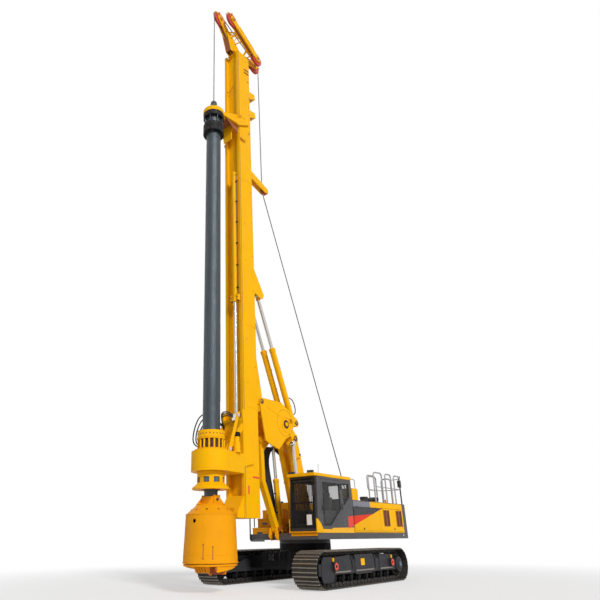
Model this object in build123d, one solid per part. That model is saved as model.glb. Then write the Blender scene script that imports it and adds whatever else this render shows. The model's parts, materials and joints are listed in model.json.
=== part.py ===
"""Rotary piling rig on telescopic tracks: mast upright, kelly bar and drilling bucket hung in front.

Millimetres. X is the machine's left (cab side), -Y its front, Z up. Every piece is drawn about the
slewing axis and then shifted by SLEW_Y, so that the whole machine stands centred over the origin.
"""
import os
from math import asin, atan2, cos, degrees, hypot, pi, sin

from build123d import *

# ---- clearances -----------------------------------------------------------------------------
SEAT = 0.3            # between a curved seat and what it carries
RUN = 10.0            # between pieces that move past each other
PANEL_GAP = 8.0       # round a door or hatch in its opening

# ---- undercarriage --------------------------------------------------------------------------
TRACK_SPREAD = 4500.0     # over both tracks, beams run out
SHOE_WIDTH = 800.0
TRACK_LENGTH = 5780.0
TRACK_HEIGHT = 1000.0
SHOE_COUNT = 58
GROUSER_HEIGHT = 25.0
GROUSER_WIDTH = 150.0
BELT_THICKNESS = 110.0    # shoe plate and links together
ROLLER_RADIUS = 110.0
ROLLER_COUNT = 8
ROLLER_SPACING = 470.0
CARRIER_ROLLER_RADIUS = 70.0
CARRIER_ROLLER_REACH = 900.0
WHEEL_WIDTH = 300.0
FRAME_WIDTH = 560.0
FRAME_LENGTH = 3860.0
YOKE_HEIGHT = 300.0
HUB_RADIUS = 165.0
HUB_REACH = 90.0
TIE_EYE_RADIUS = 35.0
TIE_EYE_PLATE = 110.0
TIE_EYE_THICKNESS = 40.0
TIE_EYE_STAND = 60.0
TIE_EYE_REACH = 1780.0
TIE_EYE_HEIGHT = 575.0
BEAM_WIDTH = 420.0
BEAM_HEIGHT = 360.0
BEAM_BOTTOM = 450.0
BEAM_REACH = 780.0        # beam centre from the slewing axis
CARBODY_WIDTH = 1900.0
CARBODY_LENGTH = 2300.0
CARBODY_BOTTOM = 420.0
CARBODY_TOP = 930.0
RING_RADIUS = 850.0
RING_SPLIT = 1180.0       # level where the upper machine turns on the lower

# ---- house ----------------------------------------------------------------------------------
HOUSE_HALF = 1600.0
DECK_FRONT = -1640.0
DECK_BOTTOM = 1290.0
DECK_TOP = 1475.0
DECK_PLATE = 30.0
TAIL_REACH = 4730.0
WEIGHT_DEPTH = 380.0
WEIGHT_CORNER = 150.0
HOOD_TOP = 2500.0
HOUSING_WALL = 40.0
HOUSING_INNER = 640.0     # inner side wall of both housings
HOUSING_FRONT = 620.0
RIGHT_FRONT = 0.0
RIGHT_DECK_FRONT = -950.0  # the deck is set back at its right front corner
STEP_DEPTH = 290.0
STEP_TOPS = (1675.0, 1975.0, 2260.0)
SIDE_DOOR_BOTTOM = 1540.0
SIDE_DOOR_TOP = 2290.0
SIDE_HINGE_RADIUS = 14.0
RAIL_FRONT = 2150.0
RAIL_RADIUS = 21.0
RAIL_HEIGHT = 1050.0

# ---- cab ------------------------------------------------------------------------------------
CAB_INNER = 585.0
CAB_REAR = 560.0
CAB_TOP = 3130.0
CAB_WALL = 60.0
CAB_RAKE = 110.0          # the windscreen leans back by this
ROOF_THICKNESS = 90.0
ROOF_VISOR = 160.0
GLASS = 12.0
DOOR_FRONT = -1380.0
DOOR_REAR = -110.0
DOOR_BOTTOM = 1590.0
DOOR_TOP = 3050.0
DOOR_FRAME = 85.0
DOOR_HINGE_RADIUS = 18.0
DOOR_HINGES = (2260.0, 2880.0)    # levels of the door's two hinges
HINGE_LENGTH = 60.0

# ---- boom, link and carrier -----------------------------------------------------------------
BOOM_FOOT = (-60.0, 1780.0)       # Y, Z of the boom's lower pin
BOOM_ARM = (-720.0, 2720.0)       # from the lower pin to the upper pin
LINK_FOOT = (-1600.0, 1600.0)
BOOM_HALF = 300.0
BOOM_DEPTH = 420.0
LEG_WIDTH = 190.0
LUG_PLATE = 40.0                  # thickness of every lug and carrier plate
LINK_HALF = 85.0
LINK_DEPTH = 170.0
LINK_BOSS_RADIUS = 110.0
EYE_HALF = 60.0                    # half the width of a lift rod's eye
MAST_EYE_HALF = 70.0
BARREL_EYE_HALF = 80.0
PIN_END = 10.0                     # a pin's head beyond what it holds
LINK_KNEE = 60.0                  # the knee stands this far behind the upper pin
PIN_RADIUS = 60.0
SMALL_PIN_RADIUS = 48.0
LIFT_X = 430.0
LIFT_FOOT = (-780.0, 1640.0)
LIFT_HEAD = (-1030.0, 4300.0)
LIFT_RADIUS = 95.0
LIFT_BARREL_LENGTH = 1560.0
LIFT_ROD_RADIUS = 55.0
LIFT_ROD_START = 1100.0
LIFT_EYE_RADIUS = 90.0
TILT_PIN = (-2590.0, 5500.0)      # the mast leans about this pin
CARRIER_X = 312.0                 # inner face of each carrier plate
MAST_CYL_FOOT = (-640.0, 5060.0)
MAST_CYL_HEAD = (-2500.0, 9450.0)
MAST_CYL_X = 195.0
MAST_CYL_RADIUS = 105.0
MAST_CYL_BARREL = 2750.0
MAST_ROD_RADIUS = 65.0
MAST_ROD_START = 2250.0
MAST_EYE_RADIUS = 115.0

# ---- mast -----------------------------------------------------------------------------------
MAST_HALF = 365.0
MAST_FRONT = -3570.0
MAST_REAR = -2840.0
MAST_BOTTOM = 1890.0
MAST_TOP = 20550.0
MAST_WALL = 16.0
RAIL_WIDTH = 110.0
RAIL_DEPTH = 130.0
FOOT_REACH = 300.0
FOOT_HEIGHT = 620.0
FOOT_NOTCH = 150.0
CROWD_INSET = 175.0                # crowd cylinder's axis from the side of the mast
CROWD_Y = -3700.0
CROWD_RADIUS = 80.0
CROWD_TOP = 14140.0
CROWD_BOTTOM = 8760.0
CROWD_CAP = 300.0                 # solid length at the top of the barrel
CROWD_ROD_RADIUS = 52.0
CROWD_UP = 3600.0                 # travel of the drive above where it stands
SHEAVE_RADIUS = 310.0
SHEAVE_WIDTH = 90.0
SHEAVE_HUB = 60.0
CHEEK_PLATE = 40.0
ROPE_RADIUS = 16.0
SLEEVE_RADIUS = 20.0              # outside of the thicker, upper length of rope
HEAD_FRONT_RISE = 1380.0           # head sheaves and neck above the top of the mast
HEAD_REAR_RISE = 530.0
HEAD_NECK_RISE = 190.0
HEAD_NECK_Y = -3320.0
AUX_X = 400.0
AUX_FRONT_Y = -3960.0
AUX_FRONT_RISE = 1340.0
AUX_REAR_Y = -2330.0
AUX_REAR_RISE = 430.0
AUX_FRONT_RADIUS = 300.0
AUX_REAR_RADIUS = 280.0
GUIDE_ROLLER = (-1560.0, 14500.0)
GUIDE_ROLLER_RADIUS = 140.0

# ---- rotary drive, kelly and bucket ---------------------------------------------------------
KELLY_Y = -4640.0
KELLY_RADIUS = 265.0
KELLY_WALL = 30.0
KELLY_BOTTOM = 2760.0
KELLY_HEAD = 16374.0
KELLY_STUB_RADIUS = 195.0
KELLY_STUB_BOTTOM = 2440.0
HEAD_FLANGE_RADIUS = 385.0
HEAD_TOP_FLANGE = 200.0
HEAD_FLANGE = 400.0
HEAD_NECK_LENGTH = 340.0
HEAD_NECK_RADIUS = 275.0
SWIVEL_RADIUS = 110.0
SWIVEL_TOP = 17084.0
GUIDE_THICKNESS = 146.0
GUIDE_REACH = 70.0                # side arms of the guide beyond the mast's sides
GUIDE_DROP = 700.0
DRIVE_BOTTOM = 3120.0
DRIVE_TOP = 3690.0
DRIVE_HALF = 580.0
BARREL_RADIUS = 365.0
BARREL_HEIGHT = 380.0
RING_HEIGHT = 210.0
RING_OUT_RADIUS = 410.0
CARRIAGE_TOP = 5050.0
CARRIAGE_BOTTOM = 3300.0
CARRIAGE_PLATE = 45.0
CARRIAGE_GAP = 60.0               # from the mast's rails to the carriage's back plate
BACK_PLATE = 50.0
BACK_HALF = 440.0
ADAPTER_RADIUS = 540.0
ADAPTER_COLLAR = 400.0
ADAPTER_BOTTOM = 2630.0
ADAPTER_FLANGE = 50.0
ADAPTER_BOLTS = 12
ADAPTER_PCD = 960.0
ADAPTER_HOLE_RADIUS = 16.5
BUCKET_TOP_RADIUS = 700.0
BUCKET_RADIUS = 750.0
BUCKET_TOP = 1960.0
BUCKET_BOTTOM = 730.0
BUCKET_WALL = 25.0
CONE_TOP = 2222.0
CONE_RADIUS = 400.0
SOCKET_HALF = 190.0
SOCKET_EAR = 40.0
GATE_THICKNESS = 60.0
GATE_PIN_REACH = 50.0             # gate hinge pin behind the bucket's shell
GATE_PIN_RADIUS = 20.0
TOOTH_LENGTH = 230.0

# ---- winch and hoist rope -------------------------------------------------------------------
DRUM_CENTRE = (3000.0, 2180.0)
DRUM_RADIUS = 280.0
DRUM_FLANGE = 400.0
DRUM_HALF = 330.0
DRUM_SHAFT_RADIUS = 60.0
ROPE_LEAD = 120.0                 # the first short length off the drum
ROPE_LOWER_END = 8450.0
ROPE_UPPER_START = 5100.0

FRONT_REACH = -KELLY_Y + BUCKET_RADIUS
SLEW_Y = (FRONT_REACH - TAIL_REACH) / 2
TRACK_X = (TRACK_SPREAD - SHOE_WIDTH) / 2
WHEEL_Y = (TRACK_LENGTH - TRACK_HEIGHT) / 2
AXLE_Z = TRACK_HEIGHT / 2
BOOM_HEAD = (BOOM_FOOT[0] + BOOM_ARM[0], BOOM_FOOT[1] + BOOM_ARM[1])
LINK_HEAD = (LINK_FOOT[0] + BOOM_ARM[0], LINK_FOOT[1] + BOOM_ARM[1])
HEAD_FRONT = (KELLY_Y + SHEAVE_RADIUS + ROPE_RADIUS, MAST_TOP + HEAD_FRONT_RISE)
HEAD_REAR_Y = GUIDE_ROLLER[0] - GUIDE_ROLLER_RADIUS - SLEEVE_RADIUS - SHEAVE_RADIUS
HEAD_REAR = (HEAD_REAR_Y, MAST_TOP + HEAD_REAR_RISE)
HEAD_NECK = (HEAD_NECK_Y, MAST_TOP + HEAD_NECK_RISE)
AUX_HEAD_FRONT = (AUX_FRONT_Y, MAST_TOP + AUX_FRONT_RISE)
AUX_HEAD_REAR = (AUX_REAR_Y, MAST_TOP + AUX_REAR_RISE)
HOUSING_REAR = TAIL_REACH - WEIGHT_DEPTH
CROWD_X = MAST_HALF - CROWD_INSET
BARREL_TOP = DRIVE_TOP + BARREL_HEIGHT
RING_TOP = BARREL_TOP + RING_HEIGHT


# ---- shapes ---------------------------------------------------------------------------------
def block(x0, x1, y0, y1, z0, z1):
    """A box between two corners."""
    size = Box(abs(x1 - x0), abs(y1 - y0), abs(z1 - z0))
    return Pos((x0 + x1) / 2, (y0 + y1) / 2, (z0 + z1) / 2) * size


def side_plate(outline, x0, x1):
    """A plate whose outline of (Y, Z) corners is seen from the side, between x0 and x1."""
    face = make_face(Polyline(*[(y, z) for y, z in outline], close=True))
    low, high = min(x0, x1), max(x0, x1)
    return Pos(low, 0, 0) * (Plane.YZ * extrude(face, high - low))


def plan_plate(outline, z0, z1):
    """A plate whose outline of (X, Y) corners is seen from above, between z0 and z1."""
    face = make_face(Polyline(*outline, close=True))
    return Pos(0, 0, z0) * extrude(face, z1 - z0)


def cross_round(y, z, radius, x0, x1):
    """A round bar or disc lying along X."""
    return Pos((x0 + x1) / 2, y, z) * Rot(0, 90, 0) * Cylinder(radius, abs(x1 - x0))


def upright(x, y, radius, z0, z1):
    """A round bar standing along Z."""
    return Pos(x, y, (z0 + z1) / 2) * Cylinder(radius, z1 - z0)


def bar(start, end, radius):
    """A round bar from one point to another."""
    span = Vector(*end) - Vector(*start)
    middle = (Vector(*start) + Vector(*end)) * 0.5
    return Plane(origin=middle, z_dir=span) * Cylinder(radius, span.length)


def beam(start, end, depth, x0, x1):
    """A square-ended beam between two (Y, Z) points, depth across it, from x0 to x1."""
    length = hypot(end[0] - start[0], end[1] - start[1])
    along = ((end[0] - start[0]) / length, (end[1] - start[1]) / length)
    across = (-along[1] * depth / 2, along[0] * depth / 2)
    outline = [
        (start[0] + across[0], start[1] + across[1]),
        (end[0] + across[0], end[1] + across[1]),
        (end[0] - across[0], end[1] - across[1]),
        (start[0] - across[0], start[1] - across[1]),
    ]
    return side_plate(outline, x0, x1)


def toward(start, end, distance):
    """The (Y, Z) point this far from start on the line to end."""
    length = hypot(end[0] - start[0], end[1] - start[1])
    share = distance / length
    return (start[0] + (end[0] - start[0]) * share, start[1] + (end[1] - start[1]) * share)


def between(start, end, share):
    """The (Y, Z) point at this share of the way from start to end."""
    return (start[0] + (end[0] - start[0]) * share, start[1] + (end[1] - start[1]) * share)


def joined(pieces):
    """The pieces fused where they meet."""
    result = pieces[0].fuse(*pieces[1:])
    return Compound(list(result)) if isinstance(result, list) else result


def group(pieces):
    """Separate solids held as one node."""
    return Compound([solid for piece in pieces for solid in piece.solids()])


def both(make):
    """What make draws for each side, as a list."""
    return [make(side) for side in (-1, 1)]


def pin(point, radius, x0, x1):
    """A pin along X at a (Y, Z) point."""
    return cross_round(point[0], point[1], radius, x0, x1)


def bore(point, radius, x0, x1):
    """The hole along X that a pin of this radius runs in."""
    return cross_round(point[0], point[1], radius + SEAT, min(x0, x1) - 1, max(x0, x1) + 1)


# ---- undercarriage --------------------------------------------------------------------------
def loop_station(distance):
    """The point and direction at this distance round the track's pitch line."""
    radius = AXLE_Z - GROUSER_HEIGHT
    straight = 2 * WHEEL_Y
    arc = pi * radius
    if distance < straight:
        return -WHEEL_Y + distance, AXLE_Z - radius, 0.0
    distance -= straight
    if distance < arc:
        turn = distance / radius
        return WHEEL_Y + radius * sin(turn), AXLE_Z - radius * cos(turn), degrees(turn)
    distance -= arc
    if distance < straight:
        return WHEEL_Y - distance, AXLE_Z + radius, 180.0
    turn = (distance - straight) / radius
    return -WHEEL_Y - radius * sin(turn), AXLE_Z + radius * cos(turn), 180.0 + degrees(turn)


def track(x):
    """One loop, with a raised bar for each shoe in its outline."""
    outer = AXLE_Z - GROUSER_HEIGHT
    inner = loop_inner()
    loop = Pos(0, AXLE_Z) * SlotCenterToCenter(2 * WHEEL_Y, 2 * outer)
    round_trip = 4 * WHEEL_Y + 2 * pi * outer
    for shoe in range(SHOE_COUNT):
        y, z, turn = loop_station((shoe + 0.5) * round_trip / SHOE_COUNT)
        grouser = Rectangle(GROUSER_WIDTH, 2 * GROUSER_HEIGHT)
        loop = loop + Pos(y, z) * Rot(0, 0, turn) * grouser
    loop = loop & Pos(0, AXLE_Z) * SlotCenterToCenter(2 * WHEEL_Y, TRACK_HEIGHT)
    loop = loop - Pos(0, AXLE_Z) * SlotCenterToCenter(2 * WHEEL_Y, 2 * inner)
    solid = Plane.YZ * extrude(loop, SHOE_WIDTH)
    return Pos(x - SHOE_WIDTH / 2, 0, 0) * solid


def track_wheels(x):
    """The sprocket, idler, bottom rollers and carrier rollers of one track."""
    inner = loop_inner()
    half = WHEEL_WIDTH / 2
    wheels = []
    for y in (-WHEEL_Y, WHEEL_Y):
        disc = cross_round(y, AXLE_Z, inner - SEAT, x - half, x + half)
        hub = cross_round(y, AXLE_Z, HUB_RADIUS, x - half - HUB_REACH, x + half + HUB_REACH)
        wheels.append(disc + hub)
    low = AXLE_Z - inner + SEAT + ROLLER_RADIUS
    for index in range(ROLLER_COUNT):
        y = (index - (ROLLER_COUNT - 1) / 2) * ROLLER_SPACING
        wheels.append(cross_round(y, low, ROLLER_RADIUS, x - half, x + half))
    high = AXLE_Z + inner - SEAT - CARRIER_ROLLER_RADIUS
    for y in (-CARRIER_ROLLER_REACH, CARRIER_ROLLER_REACH):
        wheels.append(cross_round(y, high, CARRIER_ROLLER_RADIUS, x - half, x + half))
    return wheels


def loop_inner():
    """The radius of the track loop's inner side round its wheels."""
    return AXLE_Z - GROUSER_HEIGHT - BELT_THICKNESS


def track_frame(x):
    """The long frame inside one track, with its end yokes and tie-down eyes."""
    side = 1 if x > 0 else -1
    half = FRAME_WIDTH / 2
    end = FRAME_LENGTH / 2
    bottom = AXLE_Z - loop_inner() + 2 * SEAT + 2 * ROLLER_RADIUS
    top = AXLE_Z + loop_inner() - 2 * SEAT - 2 * CARRIER_ROLLER_RADIUS
    outline = [
        (-end, bottom), (end, bottom), (end, top - 150), (end - 420, top - 70), (end - 700, top),
        (700 - end, top), (420 - end, top - 70), (-end, top - 150),
    ]
    pieces = [side_plate(outline, x - half, x + half)]
    cheek_in = WHEEL_WIDTH / 2 + HUB_REACH + SEAT
    for direction in (-1, 1):
        tip = direction * (WHEEL_Y + 170)
        for cheek in (-1, 1):
            low = AXLE_Z - YOKE_HEIGHT / 2
            pieces.append(block(x + cheek * cheek_in, x + cheek * half, direction * (end - 1), tip,
                                low, low + YOKE_HEIGHT))
        pieces.extend(tie_eye(x + side * half, side, direction * TIE_EYE_REACH))
    return joined(pieces)


def tie_eye(face, side, y):
    """A tie-down eye: a bored plate standing off the frame on two ribs."""
    low, high = TIE_EYE_HEIGHT - TIE_EYE_PLATE, TIE_EYE_HEIGHT + TIE_EYE_PLATE
    inner, outer = face + side * TIE_EYE_STAND, face + side * (TIE_EYE_STAND + TIE_EYE_THICKNESS)
    plate = block(inner, outer, y - TIE_EYE_PLATE, y + TIE_EYE_PLATE, low, high)
    plate -= pin((y, TIE_EYE_HEIGHT), TIE_EYE_RADIUS, inner - side, outer + side)
    ribs = [block(face - side, inner + side, y + step * TIE_EYE_PLATE,
                  y + step * (TIE_EYE_PLATE - 30), low, high) for step in (-1, 1)]
    return [plate] + ribs


def carbody():
    """The centre box between the beams, with the fixed half of the slewing ring."""
    body = block(-CARBODY_WIDTH / 2, CARBODY_WIDTH / 2, -CARBODY_LENGTH / 2, CARBODY_LENGTH / 2,
                 CARBODY_BOTTOM, CARBODY_TOP)
    body += upright(0, 0, RING_RADIUS, CARBODY_TOP - 1, RING_SPLIT)
    for y in (-BEAM_REACH, BEAM_REACH):
        body -= block(-CARBODY_WIDTH, CARBODY_WIDTH, y - BEAM_WIDTH / 2, y + BEAM_WIDTH / 2,
                      BEAM_BOTTOM, BEAM_BOTTOM + BEAM_HEIGHT)
    return body


def cross_beams():
    """The two telescopic beams that carry the tracks."""
    reach = TRACK_X - FRAME_WIDTH / 2
    beams = []
    for y in (-BEAM_REACH, BEAM_REACH):
        outer = block(-reach, reach, y - BEAM_WIDTH / 2, y + BEAM_WIDTH / 2,
                      BEAM_BOTTOM, BEAM_BOTTOM + BEAM_HEIGHT)
        inner = block(-reach + 60, reach - 60, y - BEAM_WIDTH / 2 + 35, y + BEAM_WIDTH / 2 - 35,
                      BEAM_BOTTOM + 35, BEAM_BOTTOM + BEAM_HEIGHT - 35)
        beams.append(outer - inner)
    return beams


# ---- house ----------------------------------------------------------------------------------
def house_frame():
    """The revolving deck: a hollow box with the turning half of the slewing ring under it."""
    deck = plan_plate(deck_outline(0), DECK_BOTTOM, DECK_TOP)
    deck -= plan_plate(deck_outline(DECK_PLATE), DECK_BOTTOM + DECK_PLATE, DECK_TOP - DECK_PLATE)
    deck += upright(0, 0, RING_RADIUS, RING_SPLIT + SEAT, DECK_BOTTOM + 1)
    return deck


def deck_outline(inset):
    """The deck's (X, Y) corners, moved inwards by a distance."""
    rear = TAIL_REACH - WEIGHT_DEPTH - inset
    left, right, inner = HOUSE_HALF - inset, inset - HOUSE_HALF, inset - HOUSING_INNER
    back, front = RIGHT_DECK_FRONT + inset, DECK_FRONT + inset
    return [(right, back), (inner, back), (inner, front), (left, front), (left, rear), (right, rear)]


def boom_brackets():
    """The lugs and pins on the deck for the boom, its link and its two lifting cylinders."""
    boom_in = BOOM_HALF + RUN
    lift_in = LIFT_RADIUS + RUN / 2
    link_in = LINK_HALF + RUN
    pieces = [pin(BOOM_FOOT, PIN_RADIUS, -boom_in - LUG_PLATE, boom_in + LUG_PLATE),
              pin(LINK_FOOT, SMALL_PIN_RADIUS, -link_in - LUG_PLATE, link_in + LUG_PLATE)]
    for side in (-1, 1):
        pieces.append(foot_lug(BOOM_FOOT, side * boom_in, side * (boom_in + LUG_PLATE), 230, 140))
        pieces.append(foot_lug(LINK_FOOT, side * link_in, side * (link_in + LUG_PLATE), 120, 80))
        for face in (LIFT_X - lift_in - LUG_PLATE, LIFT_X + lift_in):
            pieces.append(foot_lug(LIFT_FOOT, side * face, side * (face + LUG_PLATE), 150, 90))
        ends = (LIFT_X - lift_in - LUG_PLATE, LIFT_X + lift_in + LUG_PLATE)
        pieces.append(pin(LIFT_FOOT, SMALL_PIN_RADIUS, side * ends[0], side * ends[1]))
    return joined(pieces)


def foot_lug(point, x0, x1, half, top):
    """One upright plate on the deck with a round top about its pin."""
    y, z = point
    outline = [(max(y - half, DECK_FRONT), DECK_TOP), (y + half, DECK_TOP), (y + top, z),
               (max(y - top, DECK_FRONT), z)]
    return side_plate(outline, x0, x1) + pin(point, top, x0, x1)


def left_housing():
    """The engine housing behind the cab: a shell with two door openings in its left side."""
    wall = HOUSING_WALL
    shell = block(HOUSING_INNER, HOUSE_HALF, HOUSING_FRONT, HOUSING_REAR, DECK_TOP, HOOD_TOP)
    shell -= block(HOUSING_INNER + wall, HOUSE_HALF - wall, HOUSING_FRONT + wall,
                   HOUSING_REAR - wall, DECK_TOP, HOOD_TOP - wall)
    for y0, y1 in side_doors():
        shell -= block(HOUSE_HALF - 2 * wall, HOUSE_HALF + 1, y0 - PANEL_GAP, y1 + PANEL_GAP,
                       SIDE_DOOR_BOTTOM - PANEL_GAP, SIDE_DOOR_TOP + PANEL_GAP)
        for y in (y0 + 200, y1 - 200):
            shell += side_knuckle(y - HINGE_LENGTH - SEAT, 1)
            shell += side_knuckle(y + HINGE_LENGTH + SEAT, 1)
    return shell


def side_knuckle(y, up):
    """One knuckle of a side door's top hinge, on the housing above or on the door below."""
    x, z = HOUSE_HALF + SIDE_HINGE_RADIUS + 4, SIDE_DOOR_TOP + PANEL_GAP
    half = HINGE_LENGTH / 2
    barrel = Pos(x, y, z) * Rot(90, 0, 0) * Cylinder(SIDE_HINGE_RADIUS, HINGE_LENGTH)
    leaf = block(HOUSE_HALF - 1, x, y - half, y + half, z + up * 4, z + up * 34)
    return barrel + leaf


def side_doors():
    """The front and rear edges of the two doors in the left side."""
    front = HOUSING_FRONT + 80
    rear = HOUSING_REAR - 80
    middle = (front + rear) / 2
    return [(front, middle - 30), (middle + 30, rear)]


def side_door(index):
    """One door panel, flush in its opening, hung from two hinges along its top."""
    y0, y1 = side_doors()[index]
    panel = block(HOUSE_HALF - HOUSING_WALL, HOUSE_HALF, y0, y1, SIDE_DOOR_BOTTOM, SIDE_DOOR_TOP)
    return joined([panel, side_knuckle(y0 + 200, -1), side_knuckle(y1 - 200, -1)])


def right_housing():
    """The tank and pump housing on the right, closed."""
    wall = HOUSING_WALL
    shell = block(-HOUSE_HALF, -HOUSING_INNER, RIGHT_FRONT, HOUSING_REAR, DECK_TOP, HOOD_TOP)
    return shell - block(-HOUSE_HALF + wall, -HOUSING_INNER - wall, RIGHT_FRONT + wall,
                         HOUSING_REAR - wall, DECK_TOP + wall, HOOD_TOP - wall)


def front_steps():
    """The boxes that step up to the right housing, used as a stair."""
    start = RIGHT_FRONT - len(STEP_TOPS) * STEP_DEPTH
    return joined([block(-HOUSE_HALF + 60, -HOUSING_INNER, start + index * STEP_DEPTH, RIGHT_FRONT,
                         DECK_TOP, top) for index, top in enumerate(STEP_TOPS)])


def counterweight():
    """The cast weight across the tail, with rounded rear corners."""
    weight = block(-HOUSE_HALF, HOUSE_HALF, HOUSING_REAR, TAIL_REACH, DECK_BOTTOM, HOOD_TOP)
    corners = weight.edges().filter_by(Axis.Z).group_by(Axis.Y)[-1]
    return fillet(corners, WEIGHT_CORNER)


def engine_block():
    """The engine as one block on the deck in the left housing."""
    return block(780, 1420, 2300, 3900, DECK_TOP, 2250)


def handrails():
    """The guard rails round the walkway on top of the left housing."""
    sides = (HOUSE_HALF - 90, HOUSING_INNER + 90)
    rear = HOUSING_REAR - 60
    pieces = []
    for x in sides:
        for y in (RAIL_FRONT, (RAIL_FRONT + rear) / 2, rear):
            pieces.append(upright(x, y, RAIL_RADIUS, HOOD_TOP, HOOD_TOP + RAIL_HEIGHT))
        for level in (HOOD_TOP + RAIL_HEIGHT / 2, HOOD_TOP + RAIL_HEIGHT):
            pieces.append(bar((x, RAIL_FRONT, level), (x, rear, level), RAIL_RADIUS))
    for level in (HOOD_TOP + RAIL_HEIGHT / 2, HOOD_TOP + RAIL_HEIGHT):
        pieces.append(bar((sides[1], rear, level), (sides[0], rear, level), RAIL_RADIUS))
    return joined(pieces)


def hood_fittings():
    """The service box just behind the cab and the round exhaust outlet."""
    box = block(HOUSE_HALF - 420, HOUSE_HALF - 20, 640, 1040, HOOD_TOP, HOOD_TOP + 370)
    return group([box, upright(1350, 1870, 75, HOOD_TOP, HOOD_TOP + 150)])


# ---- cab ------------------------------------------------------------------------------------
def cab_outline(grow):
    """The cab's side outline of (Y, Z), set in by grow."""
    return [
        (DECK_FRONT + grow, DECK_TOP + grow),
        (CAB_REAR - grow, DECK_TOP + grow),
        (CAB_REAR - grow, CAB_TOP - grow),
        (DECK_FRONT + CAB_RAKE + grow, CAB_TOP - grow),
    ]


def door_outline(shrink):
    """The door's side outline of (Y, Z), set in by shrink: its lower rear corner is cut away."""
    return [
        (DOOR_FRONT + shrink, DOOR_BOTTOM + shrink),
        (-820 - shrink * 0.4, DOOR_BOTTOM + shrink),
        (DOOR_REAR - shrink, 2130 + shrink * 0.5),
        (DOOR_REAR - shrink, DOOR_TOP - shrink),
        (DOOR_FRONT + 60 + shrink, DOOR_TOP - shrink),
    ]


def rear_light_outline(shrink):
    """The narrow side window behind the door."""
    return [
        (DOOR_REAR + 90 + shrink, 2260 + shrink),
        (CAB_REAR - 150 - shrink, 2560 + shrink),
        (CAB_REAR - 150 - shrink, DOOR_TOP - 60 - shrink),
        (DOOR_REAR + 90 + shrink, DOOR_TOP - 60 - shrink),
    ]


def cab_shell():
    """The cab's walls and floor, hollow, with its windows and doorway cut."""
    inner, outer = CAB_INNER, HOUSE_HALF
    shell = side_plate(cab_outline(0), inner, outer)
    shell -= side_plate(cab_outline(CAB_WALL), inner + CAB_WALL, outer - CAB_WALL)
    shell -= windscreen_hole(0)
    shell -= side_plate(door_outline(-PANEL_GAP), outer - 2 * CAB_WALL, outer + 1)
    shell -= side_plate(rear_light_outline(0), outer - 2 * CAB_WALL, outer + 1)
    shell -= block(inner - 1, inner + 2 * CAB_WALL, DOOR_FRONT, CAB_REAR - 250, 2150, 2980)
    shell -= block(inner + 150, outer - 150, CAB_REAR - 2 * CAB_WALL, CAB_REAR + 1, 2550, 2980)
    for level in DOOR_HINGES:
        for step in (-1, 1):
            shell += door_knuckle(level + step * (HINGE_LENGTH + SEAT), 1)
    return shell


def door_knuckle(level, back):
    """One knuckle of the door's hinge, with its leaf on the cab behind or the door in front."""
    x, y = HOUSE_HALF + DOOR_HINGE_RADIUS + 4, DOOR_REAR + PANEL_GAP / 2
    low, high = level - HINGE_LENGTH / 2, level + HINGE_LENGTH / 2
    leaf = block(HOUSE_HALF - 1, x, y + back * 6, y + back * 50, low, high)
    return upright(x, y, DOOR_HINGE_RADIUS, low, high) + leaf


def windscreen_hole(shrink):
    """The opening of the tall front window."""
    return block(CAB_INNER + 90 + shrink, HOUSE_HALF - 90 - shrink, DECK_FRONT - 1,
                 DECK_FRONT + CAB_RAKE + 2 * CAB_WALL, 1720 + shrink, 2990 - shrink)


def cab_glass():
    """The fixed panes, each set in the middle of its wall."""
    left = HOUSE_HALF - CAB_WALL / 2
    right = CAB_INNER + CAB_WALL / 2
    rear = CAB_REAR - CAB_WALL / 2
    half = GLASS / 2
    return group([
        side_plate(rear_light_outline(SEAT), left - half, left + half),
        block(right - half, right + half, DOOR_FRONT + SEAT, CAB_REAR - 250 - SEAT,
              2150 + SEAT, 2980 - SEAT),
        block(CAB_INNER + 150 + SEAT, HOUSE_HALF - 150 - SEAT, rear - half, rear + half,
              2550 + SEAT, 2980 - SEAT),
        windscreen(),
    ])


def windscreen():
    """The front pane, leaning with the cab's front."""
    rise = CAB_TOP - DECK_TOP
    low, high = 1720 + SEAT, 2990 - SEAT

    def front(z):
        return DECK_FRONT + CAB_RAKE * (z - DECK_TOP) / rise + CAB_WALL / 2

    outline = [(front(low), low), (front(low) + GLASS, low), (front(high) + GLASS, high),
               (front(high), high)]
    return side_plate(outline, CAB_INNER + 90 + SEAT, HOUSE_HALF - 90 - SEAT)


def cab_roof():
    """The roof cap with its visor over the windscreen."""
    front = DECK_FRONT + CAB_RAKE - ROOF_VISOR
    return block(CAB_INNER - 10, HOUSE_HALF + 10, front, CAB_REAR + 10, CAB_TOP,
                 CAB_TOP + ROOF_THICKNESS)


def cab_door():
    """The door, with its window cut and its half of two hinges."""
    left = HOUSE_HALF
    frame = side_plate(door_outline(0), left - CAB_WALL, left)
    frame -= side_plate(door_outline(DOOR_FRAME), left - 2 * CAB_WALL, left + 1)
    return joined([frame] + [door_knuckle(level, -1) for level in DOOR_HINGES])


def door_glass():
    """The door's pane."""
    left = HOUSE_HALF - CAB_WALL / 2
    return side_plate(door_outline(DOOR_FRAME + SEAT), left - GLASS / 2, left + GLASS / 2)


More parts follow.
